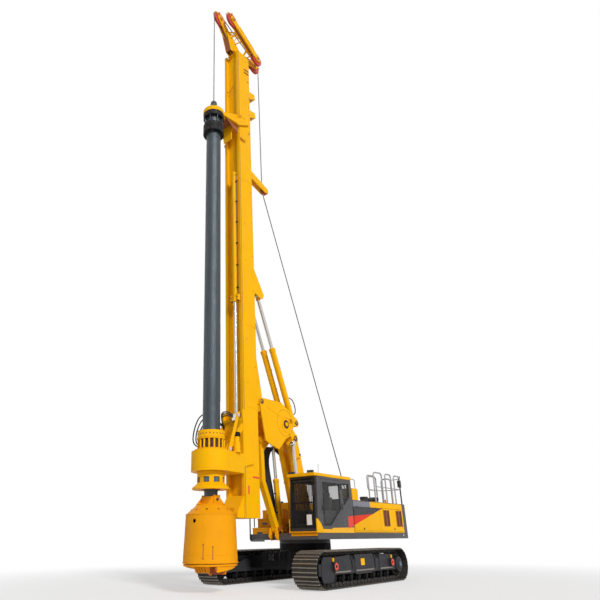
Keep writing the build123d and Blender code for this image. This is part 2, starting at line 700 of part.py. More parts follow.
def cab_interior():
    """The driver's seat, the two armrest consoles and the display stand."""
    x, y = (CAB_INNER + HOUSE_HALF) / 2, -420.0
    floor = DECK_TOP + CAB_WALL
    seat = joined([
        block(x - 170, x + 170, y - 170, y + 170, floor, floor + 330),
        block(x - 260, x + 260, y - 280, y + 250, floor + 330, floor + 470),
        side_plate([(y + 170, floor + 460), (y + 250, floor + 460), (y + 400, floor + 1180),
                    (y + 300, floor + 1180)], x - 240, x + 240),
    ])
    consoles = [block(x + side * 275, x + side * 400, -760, -200, floor, floor + 620)
                for side in (-1, 1)]
    stand = block(x - 370, x - 120, -1420, -1330, floor, floor + 800)
    return group([seat, stand] + consoles)


def cab_guard():
    """The protective grille in front of the windscreen."""
    rise = CAB_TOP - DECK_TOP
    x0, x1 = CAB_INNER + 70, HOUSE_HALF - 70
    low, high = (DECK_FRONT - 40, 1640.0), (DECK_FRONT + CAB_RAKE * 0.95 - 40, 3040.0)
    pieces = [beam(low, high, 40, x, x + 40) for x in (x0, x1 - 40)]
    for share in (0.0, 0.5, 1.0):
        y, z = between(low, high, share)
        pieces.append(block(x0, x1, y - 20, y + 20, z - 20, z + 20))
    for share in (0.06, 0.94):
        y, z = between(low, high, share)
        wall = DECK_FRONT + CAB_RAKE * (z - DECK_TOP) / rise
        for x in (x0, x1 - 40):
            pieces.append(block(x, x + 40, y - 10, wall + 1, z - 20, z + 20))
    return joined(pieces) - side_plate(cab_outline(0), CAB_INNER, HOUSE_HALF)


# ---- boom, link, carrier --------------------------------------------------------------------
def boom():
    """The main boom: two legs with a recessed web, and the pins of its lifting cylinders."""
    pieces = []
    for side in (-1, 1):
        x0, x1 = side * (BOOM_HALF - LEG_WIDTH), side * BOOM_HALF
        leg = beam(BOOM_FOOT, BOOM_HEAD, BOOM_DEPTH, x0, x1)
        for point in (BOOM_FOOT, BOOM_HEAD):
            leg += pin(point, BOOM_DEPTH / 2, x0, x1)
        ear = x1 - side * LINK_HALF
        root = toward(BOOM_HEAD, BOOM_FOOT, 250)
        leg += beam(LIFT_HEAD, root, 2 * LIFT_EYE_RADIUS, ear, x1)
        leg += pin(LIFT_HEAD, LIFT_EYE_RADIUS, ear, x1)
        for point in (BOOM_FOOT, BOOM_HEAD):
            leg -= bore(point, PIN_RADIUS, side * 50, side * (BOOM_HALF + 50))
        pieces.append(leg)
        pieces.append(pin(LIFT_HEAD, SMALL_PIN_RADIUS, ear, side * (LIFT_X - EYE_HALF - SEAT)))
    low = toward(BOOM_FOOT, BOOM_HEAD, 450)
    high = toward(BOOM_HEAD, BOOM_FOOT, 450)
    pieces.append(beam(low, high, 60, -BOOM_HALF + 50, BOOM_HALF - 50))
    return joined(pieces)


def barrel(x, foot, head, length, radius, rod_radius, eye):
    """A cylinder barrel from its foot eye towards its head, bored for its rod."""
    body = bar((x, *foot), (x, *toward(foot, head, length)), radius)
    body += pin(foot, eye, x - BARREL_EYE_HALF, x + BARREL_EYE_HALF)
    body -= bar((x, *toward(foot, head, 350)), (x, *toward(foot, head, length + 50)),
                rod_radius + SEAT)
    return body


def rod(x, foot, head, start, radius, eye, eye_half):
    """A cylinder rod from inside its barrel to its head eye."""
    body = bar((x, *toward(foot, head, start)), (x, *head), radius)
    return body + pin(head, eye, x - eye_half, x + eye_half)


def lift_barrels(side):
    """The barrel of one boom cylinder."""
    x = side * LIFT_X
    body = barrel(x, LIFT_FOOT, LIFT_HEAD, LIFT_BARREL_LENGTH, LIFT_RADIUS, LIFT_ROD_RADIUS, 110)
    return body - bore(LIFT_FOOT, SMALL_PIN_RADIUS, x - LIFT_RADIUS, x + LIFT_RADIUS)


def lift_rods(side):
    """The rod of one boom cylinder, with the pin of its eye."""
    x = side * LIFT_X
    body = rod(x, LIFT_FOOT, LIFT_HEAD, LIFT_ROD_START, LIFT_ROD_RADIUS, LIFT_EYE_RADIUS, EYE_HALF)
    return body + pin(LIFT_HEAD, SMALL_PIN_RADIUS, x, side * (LIFT_X + EYE_HALF + PIN_END))


def front_link():
    """The cranked link in front of the boom that keeps the carrier level."""
    knee = (LINK_HEAD[0] + LINK_KNEE, LINK_FOOT[1] + (LINK_HEAD[1] - LINK_FOOT[1]) * 0.52)
    x0, x1 = -LINK_HALF, LINK_HALF
    link = joined([
        beam(LINK_FOOT, knee, LINK_DEPTH, x0, x1),
        beam(knee, LINK_HEAD, LINK_DEPTH, x0, x1),
        pin(knee, LINK_DEPTH / 2, x0, x1),
        pin(LINK_FOOT, LINK_BOSS_RADIUS, x0, x1),
        pin(LINK_HEAD, LINK_BOSS_RADIUS, x0, x1),
    ])
    link -= bore(LINK_FOOT, SMALL_PIN_RADIUS, x0, x1)
    return link - bore(LINK_HEAD, SMALL_PIN_RADIUS, x0, x1)


def carrier():
    """The frame that stands on the boom and the link and holds the mast and its cylinders."""
    outer = CARRIER_X + LUG_PLATE
    pieces = [
        pin(BOOM_HEAD, PIN_RADIUS, -outer, outer),
        pin(TILT_PIN, PIN_RADIUS, -outer, outer),
        pin(MAST_CYL_FOOT, PIN_RADIUS, -outer, outer),
        pin(LINK_HEAD, SMALL_PIN_RADIUS, -outer, outer),
    ]
    for y, z, radius in ((-1560, 4420, 110), (-1350, 5330, 110), (-2330, 5170, 90)):
        pieces.append(cross_round(y, z, radius, -CARRIER_X - 10, CARRIER_X + 10))
    for side in (-1, 1):
        pieces.extend(carrier_side(side))
    return joined(pieces)


def carrier_side(side):
    """One side plate of the carrier, its boom lug and its inner plate by the link."""
    x0, x1 = side * CARRIER_X, side * (CARRIER_X + LUG_PLATE)
    outline = [
        (TILT_PIN[0] - 110, TILT_PIN[1] - 60), (LINK_HEAD[0] - 120, LINK_HEAD[1] - 60),
        (LINK_HEAD[0] + 60, LINK_HEAD[1] - 140), (-1720, 4040),
        (MAST_CYL_FOOT[0] + 30, MAST_CYL_FOOT[1] + 40),
        (MAST_CYL_FOOT[0] + 60, MAST_CYL_FOOT[1] + 130), (-1500, 5650),
        (TILT_PIN[0] + 20, TILT_PIN[1] + 130), (TILT_PIN[0] - 90, TILT_PIN[1] + 90),
    ]
    plate = side_plate(outline, x0, x1) - cross_round(-1000, 5060, 95, x0 - side, x1 + side)
    neck = (BOOM_HEAD[0] - 290, BOOM_HEAD[1] + 304)
    web = [(LINK_HEAD[0] - 110, LINK_HEAD[1] - 100), (LINK_HEAD[0] + 110, LINK_HEAD[1] - 130),
           (-1520, 4330), (-1520, 4520), (LINK_HEAD[0] - 60, LINK_HEAD[1] + 130)]
    return [
        plate, beam(BOOM_HEAD, neck, 300, x0, x1), pin(BOOM_HEAD, 180, x0, x1),
        pin(MAST_CYL_FOOT, 130, x0, x1),
        side_plate(web, side * (LINK_HALF + RUN), side * (LINK_HALF + RUN + LUG_PLATE)),
    ]


def mast_barrels(side):
    """The barrel of one mast cylinder."""
    x = side * MAST_CYL_X
    body = barrel(x, MAST_CYL_FOOT, MAST_CYL_HEAD, MAST_CYL_BARREL, MAST_CYL_RADIUS,
                  MAST_ROD_RADIUS, 120)
    return body - bore(MAST_CYL_FOOT, PIN_RADIUS, x - MAST_CYL_RADIUS, x + MAST_CYL_RADIUS)


def mast_rods():
    """The rods of both mast cylinders and the pin that joins their eyes."""
    pieces = [pin(MAST_CYL_HEAD, SMALL_PIN_RADIUS, -MAST_CYL_X, MAST_CYL_X)]
    for side in (-1, 1):
        pieces.append(rod(side * MAST_CYL_X, MAST_CYL_FOOT, MAST_CYL_HEAD, MAST_ROD_START,
                          MAST_ROD_RADIUS, MAST_EYE_RADIUS, MAST_EYE_HALF))
    return joined(pieces)


# ---- mast -----------------------------------------------------------------------------------
def mast():
    """The mast: a hollow box with two front rails, its rear lugs and pins, and its foot."""
    wall = MAST_WALL
    front = MAST_FRONT + RAIL_DEPTH
    box = block(-MAST_HALF, MAST_HALF, front, MAST_REAR, MAST_BOTTOM, MAST_TOP)
    box -= block(-MAST_HALF + wall, MAST_HALF - wall, front + wall, MAST_REAR - wall,
                 MAST_BOTTOM + wall, MAST_TOP - wall)
    pieces = [box, mast_foot()]
    for side in (-1, 1):
        pieces.append(block(side * (MAST_HALF - RAIL_WIDTH), side * MAST_HALF, MAST_FRONT,
                            front + 1, MAST_BOTTOM, MAST_TOP))
        pieces.append(cylinder_lug(side))
        eye_face = MAST_CYL_X + MAST_EYE_HALF + SEAT
        pieces.append(pin(MAST_CYL_HEAD, SMALL_PIN_RADIUS, side * eye_face, side * MAST_HALF))
        pieces.append(pivot_lug(side))
    return joined(pieces)


def cylinder_lug(side):
    """The plate on the mast's back that a mast cylinder's rod is pinned to."""
    y, z = MAST_CYL_HEAD
    outline = [(MAST_REAR - 10, z + 870), (y + 200, z - 10), (y + 130, z - 170), (y - 60, z - 190),
               (MAST_REAR - 10, z - 60)]
    return side_plate(outline, side * (MAST_HALF - LUG_PLATE), side * MAST_HALF)


def pivot_lug(side):
    """The wedge on the mast's back that turns on the tilt pin."""
    y, z = TILT_PIN
    outline = [(MAST_REAR - 10, z + 1900), (y + 110, z + 30), (y + 40, z - 120), (y - 60, z - 120),
               (MAST_REAR - 10, z - 60)]
    outer = CARRIER_X - RUN
    plate = side_plate(outline, side * (outer - 60), side * outer)
    return plate - bore(TILT_PIN, PIN_RADIUS, side * (outer - 60), side * outer)


def mast_foot():
    """The wedge under the mast's front, notched for the gate hinge of a raised bucket."""
    outline = [(MAST_FRONT + 10, MAST_BOTTOM), (MAST_FRONT - FOOT_REACH, MAST_BOTTOM),
               (MAST_FRONT - FOOT_REACH, MAST_BOTTOM + 140),
               (MAST_FRONT, MAST_BOTTOM + FOOT_HEIGHT), (MAST_FRONT + 10, MAST_BOTTOM + FOOT_HEIGHT)]
    notch = block(-FOOT_NOTCH, FOOT_NOTCH, MAST_FRONT - FOOT_REACH - 1, gate_pin()[0] + 60,
                  MAST_BOTTOM - 1, MAST_BOTTOM + FOOT_HEIGHT)
    return side_plate(outline, -MAST_HALF + 30, MAST_HALF - 30) - notch


def crowd_barrel():
    """The barrel of the crowd cylinder in front of the mast, with its two mounts."""
    wall = MAST_FRONT + RAIL_DEPTH
    pieces = [upright(CROWD_X, CROWD_Y, CROWD_RADIUS, CROWD_BOTTOM, CROWD_TOP)]
    for z in (CROWD_TOP - 260, CROWD_BOTTOM + 60):
        pieces.append(block(CROWD_X - 50, CROWD_X + 50, CROWD_Y + 20, wall, z, z + 160))
    return joined(pieces) - upright(CROWD_X, CROWD_Y, CROWD_ROD_RADIUS + SEAT, CROWD_BOTTOM - 1,
                                    CROWD_TOP - CROWD_CAP)


def sheave(x, point, radius):
    """A rope sheave with hubs that reach its cheek plates."""
    y, z = point
    wheel = cross_round(y, z, radius, x - SHEAVE_WIDTH / 2, x + SHEAVE_WIDTH / 2)
    reach = SHEAVE_WIDTH / 2 + RUN - SEAT
    return wheel + cross_round(y, z, SHEAVE_HUB, x - reach, x + reach)


def head_arm(x, points, depth):
    """A pair of cheek plates along a run of (Y, Z) points, either side of its sheaves."""
    pieces = []
    for side in (-1, 1):
        x0 = x + side * (SHEAVE_WIDTH / 2 + RUN)
        x1 = x0 + side * CHEEK_PLATE
        for start, end in zip(points, points[1:]):
            pieces.append(beam(start, end, depth, x0, x1))
        for point in points:
            pieces.append(pin(point, depth / 2, x0, x1))
    clear = SHEAVE_RADIUS + 60
    for start, end in zip(points, points[1:]):
        pieces.append(beam(toward(start, end, clear), toward(end, start, clear), 160, x - 60, x + 60))
    return pieces


def mast_head():
    """The rope head on the mast's top: a cranked main arm and a straight arm beside it."""
    pieces = head_arm(0, [HEAD_FRONT, HEAD_NECK, HEAD_REAR], 330)
    pieces += head_arm(AUX_X, [AUX_HEAD_FRONT, AUX_HEAD_REAR], 300)
    front, rear = MAST_FRONT + 60, MAST_REAR - 40
    pieces.append(block(-230, 230, front, rear, MAST_TOP, MAST_TOP + 70))
    for side in (-1, 1):
        pieces.append(block(side * 55, side * 105, front, rear, MAST_TOP, MAST_TOP + 230))
    joints = ((between(HEAD_NECK, HEAD_FRONT, 0.45), 0.30), (between(HEAD_NECK, HEAD_REAR, 0.30), 0.70))
    for main, share in joints:
        aux = between(AUX_HEAD_FRONT, AUX_HEAD_REAR, share)
        pieces.append(bar((75, *main), (AUX_X - 75, *aux), 45))
    return joined(pieces)


def guide_roller():
    """The roller in the rope bracket."""
    y, z = GUIDE_ROLLER
    wheel = cross_round(y, z, GUIDE_ROLLER_RADIUS, -65, 65)
    return wheel - cross_round(y, z, SMALL_PIN_RADIUS + SEAT, -66, 66)


def rope_sheaves():
    """The four sheaves in the head and the roller in the rope bracket."""
    return group([
        sheave(0, HEAD_FRONT, SHEAVE_RADIUS),
        sheave(0, HEAD_REAR, SHEAVE_RADIUS),
        sheave(AUX_X, AUX_HEAD_FRONT, AUX_FRONT_RADIUS),
        sheave(AUX_X, AUX_HEAD_REAR, AUX_REAR_RADIUS),
        guide_roller(),
    ])


def rope_bracket():
    """The arm on the mast's back whose roller turns the hoist rope towards the winch."""
    y, z = GUIDE_ROLLER
    outline = [(MAST_REAR, z + 560), (MAST_REAR, z + 180), (y - 60, z - 110), (y + 120, z - 60),
               (y + 120, z + 110)]
    pieces = [side_plate(outline, side * 75, side * 115) for side in (-1, 1)]
    pieces.append(block(-115, 115, MAST_REAR, MAST_REAR + 40, z + 150, z + 590))
    pieces.append(pin(GUIDE_ROLLER, SMALL_PIN_RADIUS, -80, 80))
    return joined(pieces)


# ---- rotary drive, kelly, bucket ------------------------------------------------------------
def rotary_drive():
    """The drive's gear housing and barrel, with the carriage that runs on the mast."""
    rear = MAST_FRONT - CARRIAGE_GAP
    outline = [(-DRIVE_HALF, KELLY_Y), (DRIVE_HALF, KELLY_Y), (BACK_HALF, rear), (-BACK_HALF, rear)]
    pieces = [
        upright(0, KELLY_Y, DRIVE_HALF, DRIVE_BOTTOM, DRIVE_TOP),
        plan_plate(outline, DRIVE_BOTTOM, DRIVE_TOP),
        upright(0, KELLY_Y, BARREL_RADIUS, DRIVE_TOP - 1, BARREL_TOP + 1),
        upright(0, KELLY_Y, RING_OUT_RADIUS, BARREL_TOP, RING_TOP),
        upright(0, KELLY_Y, BARREL_RADIUS + 60, DRIVE_TOP - 1, DRIVE_TOP + 80),
        block(-BACK_HALF, BACK_HALF, rear - BACK_PLATE, rear, DRIVE_BOTTOM, CARRIAGE_TOP - 250),
    ]
    for side in (-1, 1):
        pieces.extend(carriage_side(side))
    return joined(pieces) - upright(0, KELLY_Y, KELLY_RADIUS + RUN, DRIVE_BOTTOM - 1, RING_TOP + 1)


def carriage_side(side):
    """One side of the carriage: its plate beside a mast rail, its brace and its slide pads."""
    gap = MAST_HALF + RUN
    outer = gap + CARRIAGE_PLATE
    rear = MAST_FRONT - CARRIAGE_GAP
    reach = MAST_FRONT + 430
    outline = [(rear - BACK_PLATE, CARRIAGE_BOTTOM), (reach, CARRIAGE_BOTTOM + 150),
               (reach, CARRIAGE_TOP - 300), (MAST_FRONT + 200, CARRIAGE_TOP),
               (rear - BACK_PLATE, CARRIAGE_TOP)]
    brace = beam((KELLY_Y + 120, DRIVE_TOP - 120), (rear - 20, 4560), 170, side * (outer - 45),
                 side * outer)
    pieces = [side_plate(outline, side * gap, side * outer), brace]
    for z in (CARRIAGE_BOTTOM + 200, CARRIAGE_TOP - 500):
        pieces.append(block(side * (MAST_HALF + SEAT), side * (gap + 5), MAST_FRONT + 10,
                            MAST_FRONT + RAIL_DEPTH - 10, z, z + 200))
        pieces.append(block(side * (MAST_HALF - RAIL_WIDTH + 10), side * (MAST_HALF - 10), rear - 5,
                            MAST_FRONT - SEAT, z, z + 200))
    return pieces


def crowd_rod():
    """The crowd cylinder's rod, standing on its mount on the carriage."""
    foot = CARRIAGE_TOP - 180
    top = CROWD_TOP - CROWD_CAP - CROWD_UP - RUN
    face = MAST_FRONT - CARRIAGE_GAP - BACK_PLATE
    mount = block(CROWD_X - 110, CROWD_X + 110, CROWD_Y - 90, face, foot - 150, foot + 60)
    return upright(CROWD_X, CROWD_Y, CROWD_ROD_RADIUS, foot, top) + mount


def drive_adapter():
    """The turning collar under the drive, with its bolted casing flange."""
    y = KELLY_Y
    flange_top = ADAPTER_BOTTOM + ADAPTER_FLANGE
    cone = 120
    collar = joined([
        upright(0, y, ADAPTER_COLLAR, flange_top, DRIVE_BOTTOM - SEAT),
        Pos(0, y, flange_top + cone / 2) * Cone(ADAPTER_RADIUS - 10, ADAPTER_COLLAR, cone),
        upright(0, y, ADAPTER_RADIUS, ADAPTER_BOTTOM, flange_top),
    ])
    collar -= upright(0, y, KELLY_RADIUS + RUN, ADAPTER_BOTTOM - 1, DRIVE_BOTTOM + 1)
    for index in range(8):
        window = Pos(ADAPTER_COLLAR - 30, 0, 0) * Box(160, 180, 150)
        collar -= Pos(0, y, 2890) * Rot(0, 0, index * 45 + 22.5) * window
    for index in range(ADAPTER_BOLTS):
        hole = Pos(ADAPTER_PCD / 2, 0, 0) * Cylinder(ADAPTER_HOLE_RADIUS, 400)
        collar -= Pos(0, y, ADAPTER_BOTTOM) * Rot(0, 0, index * 360 / ADAPTER_BOLTS) * hole
    return collar


def kelly_bar():
    """The telescoped kelly bar, with its head flanges and swivel."""
    y = KELLY_Y
    upper = KELLY_HEAD - HEAD_TOP_FLANGE
    lower = upper - HEAD_NECK_LENGTH
    neck = lower - HEAD_FLANGE
    tube = upright(0, y, KELLY_RADIUS, KELLY_BOTTOM, neck + 1)
    tube -= upright(0, y, KELLY_RADIUS - KELLY_WALL, KELLY_BOTTOM - 1, neck - 100)
    return joined([
        tube,
        upright(0, y, KELLY_STUB_RADIUS, KELLY_STUB_BOTTOM, KELLY_BOTTOM + 400),
        upright(0, y, KELLY_RADIUS - KELLY_WALL + 1, KELLY_BOTTOM + 300, KELLY_BOTTOM + 420),
        upright(0, y, HEAD_FLANGE_RADIUS, upper, KELLY_HEAD),
        upright(0, y, HEAD_NECK_RADIUS, lower - 1, upper + 1),
        upright(0, y, HEAD_FLANGE_RADIUS, neck, lower),
        upright(0, y, SWIVEL_RADIUS, KELLY_HEAD - 10, KELLY_HEAD + 290),
        upright(0, y, SWIVEL_RADIUS / 2, KELLY_HEAD + 280, SWIVEL_TOP),
    ])


def kelly_guide():
    """The frame on top of the kelly's head that slides on the mast rails."""
    y = KELLY_Y
    low = KELLY_HEAD + SEAT
    high = low + GUIDE_THICKNESS
    rear = CROWD_Y - CROWD_RADIUS - 2 * RUN
    gap = MAST_HALF + RUN
    reach = MAST_HALF + GUIDE_REACH
    pieces = [
        upright(0, y, HEAD_FLANGE_RADIUS + 15, low, high),
        plan_plate([(-330, y + 150), (330, y + 150), (reach, rear), (-reach, rear)], low, high),
        side_plate([(rear - 60, high - 10), (rear, high - 10), (rear, low - GUIDE_DROP),
                    (rear - 40, low - GUIDE_DROP), (rear - 60, low)], -200, 200),
    ]
    outline = [(rear - 60, low), (MAST_FRONT - 60, low), (MAST_FRONT + 470, low + 330),
               (MAST_FRONT + 570, low + 390), (MAST_FRONT + 570, low + 730),
               (MAST_FRONT + 420, low + 760), (rear - 60, high)]
    for side in (-1, 1):
        pieces.append(side_plate(outline, side * gap, side * reach))
        pieces.append(block(side * (MAST_HALF + SEAT), side * (gap + 5), MAST_FRONT + 20,
                            MAST_FRONT + RAIL_DEPTH - 10, low + 110, low + 190))
    return joined(pieces) - upright(0, y, SWIVEL_RADIUS + 40, low - 1, high + 1)


def bucket():
    """The drilling bucket's shell, cone, square socket for the kelly and gate hinge ears."""
    y = KELLY_Y
    height = BUCKET_TOP - BUCKET_BOTTOM
    middle = BUCKET_BOTTOM + height / 2
    lid = CONE_TOP - BUCKET_TOP
    wall = BUCKET_WALL
    pieces = [
        Pos(0, y, middle) * Cone(BUCKET_RADIUS, BUCKET_TOP_RADIUS, height),
        Pos(0, y, BUCKET_TOP + lid / 2) * Cone(BUCKET_TOP_RADIUS, CONE_RADIUS, lid),
        block(-SOCKET_HALF, SOCKET_HALF, y - SOCKET_HALF, y + SOCKET_HALF, CONE_TOP - 30,
              KELLY_STUB_BOTTOM),
    ]
    for side in (-1, 1):
        inner = SOCKET_HALF + 10
        pieces.append(block(side * (inner - 15), side * inner, y - 130, y + 130, CONE_TOP - 30,
                            KELLY_STUB_BOTTOM))
        pieces.append(block(side * inner, side * (inner + SOCKET_EAR), y - 130, y + 130,
                            CONE_TOP - 30, KELLY_STUB_BOTTOM + 40))
        pieces.append(gate_ear(side * 90, side * 130))
    shell = joined(pieces)
    shell -= Pos(0, y, middle - 1) * Cone(BUCKET_RADIUS - wall, BUCKET_TOP_RADIUS - wall, height + 2)
    shell -= Pos(0, y, BUCKET_TOP + lid / 2 - wall) * Cone(BUCKET_TOP_RADIUS - wall,
                                                           CONE_RADIUS - wall, lid)
    vent = Pos(BUCKET_TOP_RADIUS, 0, 0) * Rot(0, 90, 0) * Cylinder(55, 200)
    shell -= Pos(0, y, 1790) * Rot(0, 0, -86) * vent
    return shell + pin(gate_pin(), GATE_PIN_RADIUS, -130, 130)


def gate_pin():
    """The (Y, Z) of the gate's hinge, behind the bucket and just above its lower edge."""
    return (KELLY_Y + BUCKET_RADIUS + GATE_PIN_REACH, BUCKET_BOTTOM + GATE_PIN_REACH)


def gate_ear(x0, x1):
    """A plate on the back of the bucket round the gate's hinge pin."""
    y, z = gate_pin()
    outline = [(y - 75, z - 40), (y + 10, z - 40), (y + 40, z), (y + 10, z + 40), (y - 75, z + 120)]
    return side_plate(outline, x0, x1)


def bucket_gate():
    """The hinged bottom of the bucket with its cutting teeth and pilot."""
    y = KELLY_Y
    top = BUCKET_BOTTOM - RUN
    under = top - GATE_THICKNESS
    low = under - TOOTH_LENGTH
    plate = upright(0, y, BUCKET_RADIUS - 30, under, top)
    for side in (-1, 1):
        plate -= Pos(side * 330, y - side * 160, (under + top) / 2) * Box(480, 240, 80)
    pieces = [plate, Pos(0, y, (low + under) / 2) * Cone(30, 130, under - low)]
    for side in (-1, 1):
        for index in range(5):
            x = side * (160 + index * 105)
            outline = [(y - side * 45, under + 1), (y + side * 45, under + 1),
                       (y - side * 60, low + 40), (y - side * 90, low + 70)]
            pieces.append(side_plate(outline, x - 32, x + 32))
    hinge_y, hinge_z = gate_pin()
    half = 90 - SEAT
    pieces.append(block(-half, half, y + BUCKET_RADIUS - 120, hinge_y + 30, under, top))
    pieces.append(block(-half, half, hinge_y - 30, hinge_y + 30, under, hinge_z))
    pieces.append(pin((hinge_y, hinge_z), 30, -half, half))
    return joined(pieces) - bore((hinge_y, hinge_z), GATE_PIN_RADIUS, -half, half)


# ---- winch and hoist rope -------------------------------------------------------------------
def winch_frame():
    """The two side plates, base and shaft that hold the hoist drum."""
    y, z = DRUM_CENTRE
    outline = [(y - 430, DECK_TOP), (y + 430, DECK_TOP), (y + 170, z + 120), (y - 170, z + 120)]
    inner = DRUM_HALF + 70
    pieces = [block(-inner - LUG_PLATE, inner + LUG_PLATE, y - 430, y + 430, DECK_TOP, DECK_TOP + 60),
              pin(DRUM_CENTRE, DRUM_SHAFT_RADIUS, -inner - 10, inner + 10)]
    for side in (-1, 1):
        pieces.append(side_plate(outline, side * inner, side * (inner + LUG_PLATE)))
    return joined(pieces)


def winch_drum():
    """The hoist drum with its flanges and wound rope."""
    pieces = [pin(DRUM_CENTRE, DRUM_RADIUS, -DRUM_HALF, DRUM_HALF)]
    for side in (-1, 1):
        pieces.append(pin(DRUM_CENTRE, DRUM_FLANGE, side * (DRUM_HALF - 1), side * (DRUM_HALF + 40)))
    return joined(pieces) - bore(DRUM_CENTRE, DRUM_SHAFT_RADIUS, -DRUM_HALF - 60, DRUM_HALF + 60)


def rope_line():
    """Both ends and length of the rope, which touches the drum's back and the roller's front."""
    reach_y = GUIDE_ROLLER[0] - DRUM_CENTRE[0]
    reach_z = GUIDE_ROLLER[1] - DRUM_CENTRE[1]
    at_drum = DRUM_RADIUS + ROPE_RADIUS
    at_roller = GUIDE_ROLLER_RADIUS + SLEEVE_RADIUS + RUN
    span = hypot(reach_y, reach_z)
    lean = atan2(-reach_y, reach_z) + asin((at_drum + at_roller) / span)
    foot = (DRUM_CENTRE[0] + at_drum * cos(lean), DRUM_CENTRE[1] + at_drum * sin(lean))
    top = (GUIDE_ROLLER[0] - at_roller * cos(lean), GUIDE_ROLLER[1] - at_roller * sin(lean))
    return foot, top, hypot(top[0] - foot[0], top[1] - foot[1])


def rope(start, end, radius):
    """A straight length of the hoist rope between two distances from the drum."""
    foot, top, _ = rope_line()
    return bar((0, *toward(foot, top, start)), (0, *toward(foot, top, end)), radius)


def rope_joint():
    """The point where the lower length of rope swings on the lead."""
    foot, top, _ = rope_line()
    return (0, *toward(foot, top, ROPE_LEAD))


def rope_lead():
    """The first short length off the drum, with a ball at its end."""
    return rope(0, ROPE_LEAD, ROPE_RADIUS - SEAT) + Pos(*rope_joint()) * Sphere(SLEEVE_RADIUS - SEAT)


def rope_lower():
    """The lower length of rope, hollowed at its foot for the ball."""
    return rope(ROPE_LEAD, ROPE_LOWER_END, ROPE_RADIUS - SEAT) - Pos(*rope_joint()) * Sphere(SLEEVE_RADIUS)


def rope_upper():
    """The upper length of the hoist rope, a sleeve the lower length runs into."""
    length = rope_line()[2]
    sleeve = rope(ROPE_UPPER_START, length, SLEEVE_RADIUS - SEAT)
    return sleeve - rope(ROPE_UPPER_START - 1, length + 1, ROPE_RADIUS)


# ---- build ----------------------------------------------------------------------------------
def undercarriage_nodes():
    """The fixed lower machine."""
    return {
        "carbody": carbody(),
        "cross_beams": group(cross_beams()),
        "track_left": track(TRACK_X),
        "track_right": track(-TRACK_X),
        "track_wheels": group(track_wheels(TRACK_X) + track_wheels(-TRACK_X)),
        "track_frames": group([track_frame(TRACK_X), track_frame(-TRACK_X)]),
    }


def house_nodes():
    """Everything on the revolving deck, the cab included."""
    return {
        "house_frame": house_frame(),
        "boom_brackets": boom_brackets(),
        "left_housing": left_housing(),
        "right_housing": right_housing(),
        "front_steps": front_steps(),
        "counterweight": counterweight(),
        "engine_block": engine_block(),
        "handrails": handrails(),
        "hood_fittings": hood_fittings(),
        "side_door_front": side_door(0),
        "side_door_rear": side_door(1),
        "cab_shell": cab_shell(),
        "cab_glass": cab_glass(),
        "cab_roof": cab_roof(),
        "cab_door": cab_door(),
        "door_glass": door_glass(),
        "cab_interior": cab_interior(),
        "cab_guard": cab_guard(),
        "winch_frame": winch_frame(),
        "winch_drum": winch_drum(),
    }


def linkage_nodes():
    """The boom, its link and cylinders, and the carrier."""
    return {
        "boom": boom(),
        "lift_cylinder_barrels": group(both(lift_barrels)),
        "lift_cylinder_rods": group(both(lift_rods)),
        "front_link": front_link(),
        "mast_carrier": carrier(),
        "mast_cylinder_barrels": group(both(mast_barrels)),
        "mast_cylinder_rods": mast_rods(),
    }


def mast_nodes():
    """The mast with all that it carries, and the hoist rope behind it."""
    return {
        "mast": mast(),
        "mast_head": mast_head(),
        "rope_sheaves": rope_sheaves(),
        "rope_bracket": rope_bracket(),
        "crowd_cylinder_barrel": crowd_barrel(),
        "crowd_cylinder_rod": crowd_rod(),
        "rotary_drive": rotary_drive(),
        "drive_adapter": drive_adapter(),
        "kelly_guide": kelly_guide(),
        "kelly_bar": kelly_bar(),
        "bucket": bucket(),
        "bucket_gate": bucket_gate(),
        "hoist_rope_lead": rope_lead(),
        "hoist_rope_lower": rope_lower(),
        "hoist_rope_upper": rope_upper(),
    }


def nodes():
    """Every named piece of the machine."""
    return {**undercarriage_nodes(), **house_nodes(), **linkage_nodes(), **mast_nodes()}


if __name__ == "__main__":
    os.makedirs("parts", exist_ok=True)
    for name, shape in nodes().items():
        export_step(Pos(0, SLEW_Y, 0) * shape, "parts/" + name + ".step")
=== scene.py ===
"""Looks of a rotary piling rig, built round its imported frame. Metres, +Z up, front towards -Y."""

import json
import math

import bmesh
import bpy
from mathutils import Matrix, Vector


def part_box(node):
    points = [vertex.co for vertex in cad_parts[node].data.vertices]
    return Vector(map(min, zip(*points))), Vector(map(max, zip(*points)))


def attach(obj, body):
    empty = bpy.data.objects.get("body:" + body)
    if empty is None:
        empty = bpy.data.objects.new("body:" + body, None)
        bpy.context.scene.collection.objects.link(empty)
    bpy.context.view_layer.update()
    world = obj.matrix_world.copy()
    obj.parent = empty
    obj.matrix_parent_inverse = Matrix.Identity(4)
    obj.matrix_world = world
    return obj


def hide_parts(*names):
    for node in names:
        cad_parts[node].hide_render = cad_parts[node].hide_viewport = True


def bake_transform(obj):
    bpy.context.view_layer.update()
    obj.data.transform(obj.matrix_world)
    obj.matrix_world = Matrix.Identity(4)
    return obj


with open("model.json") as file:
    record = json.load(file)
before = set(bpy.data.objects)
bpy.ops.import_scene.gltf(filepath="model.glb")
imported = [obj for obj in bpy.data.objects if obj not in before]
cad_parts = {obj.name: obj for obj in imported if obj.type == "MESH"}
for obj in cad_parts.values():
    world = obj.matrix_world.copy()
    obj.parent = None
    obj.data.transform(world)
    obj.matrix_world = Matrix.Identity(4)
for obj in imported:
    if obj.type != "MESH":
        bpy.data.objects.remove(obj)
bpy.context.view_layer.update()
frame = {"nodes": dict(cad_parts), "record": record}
JOINTS = {joint["name"]: joint for joint in frame["record"]["behaviour"]["joints"]}
X, Y, Z = Vector((1, 0, 0)), Vector((0, 1, 0)), Vector((0, 0, 1))
SIDES = (-1, 1)


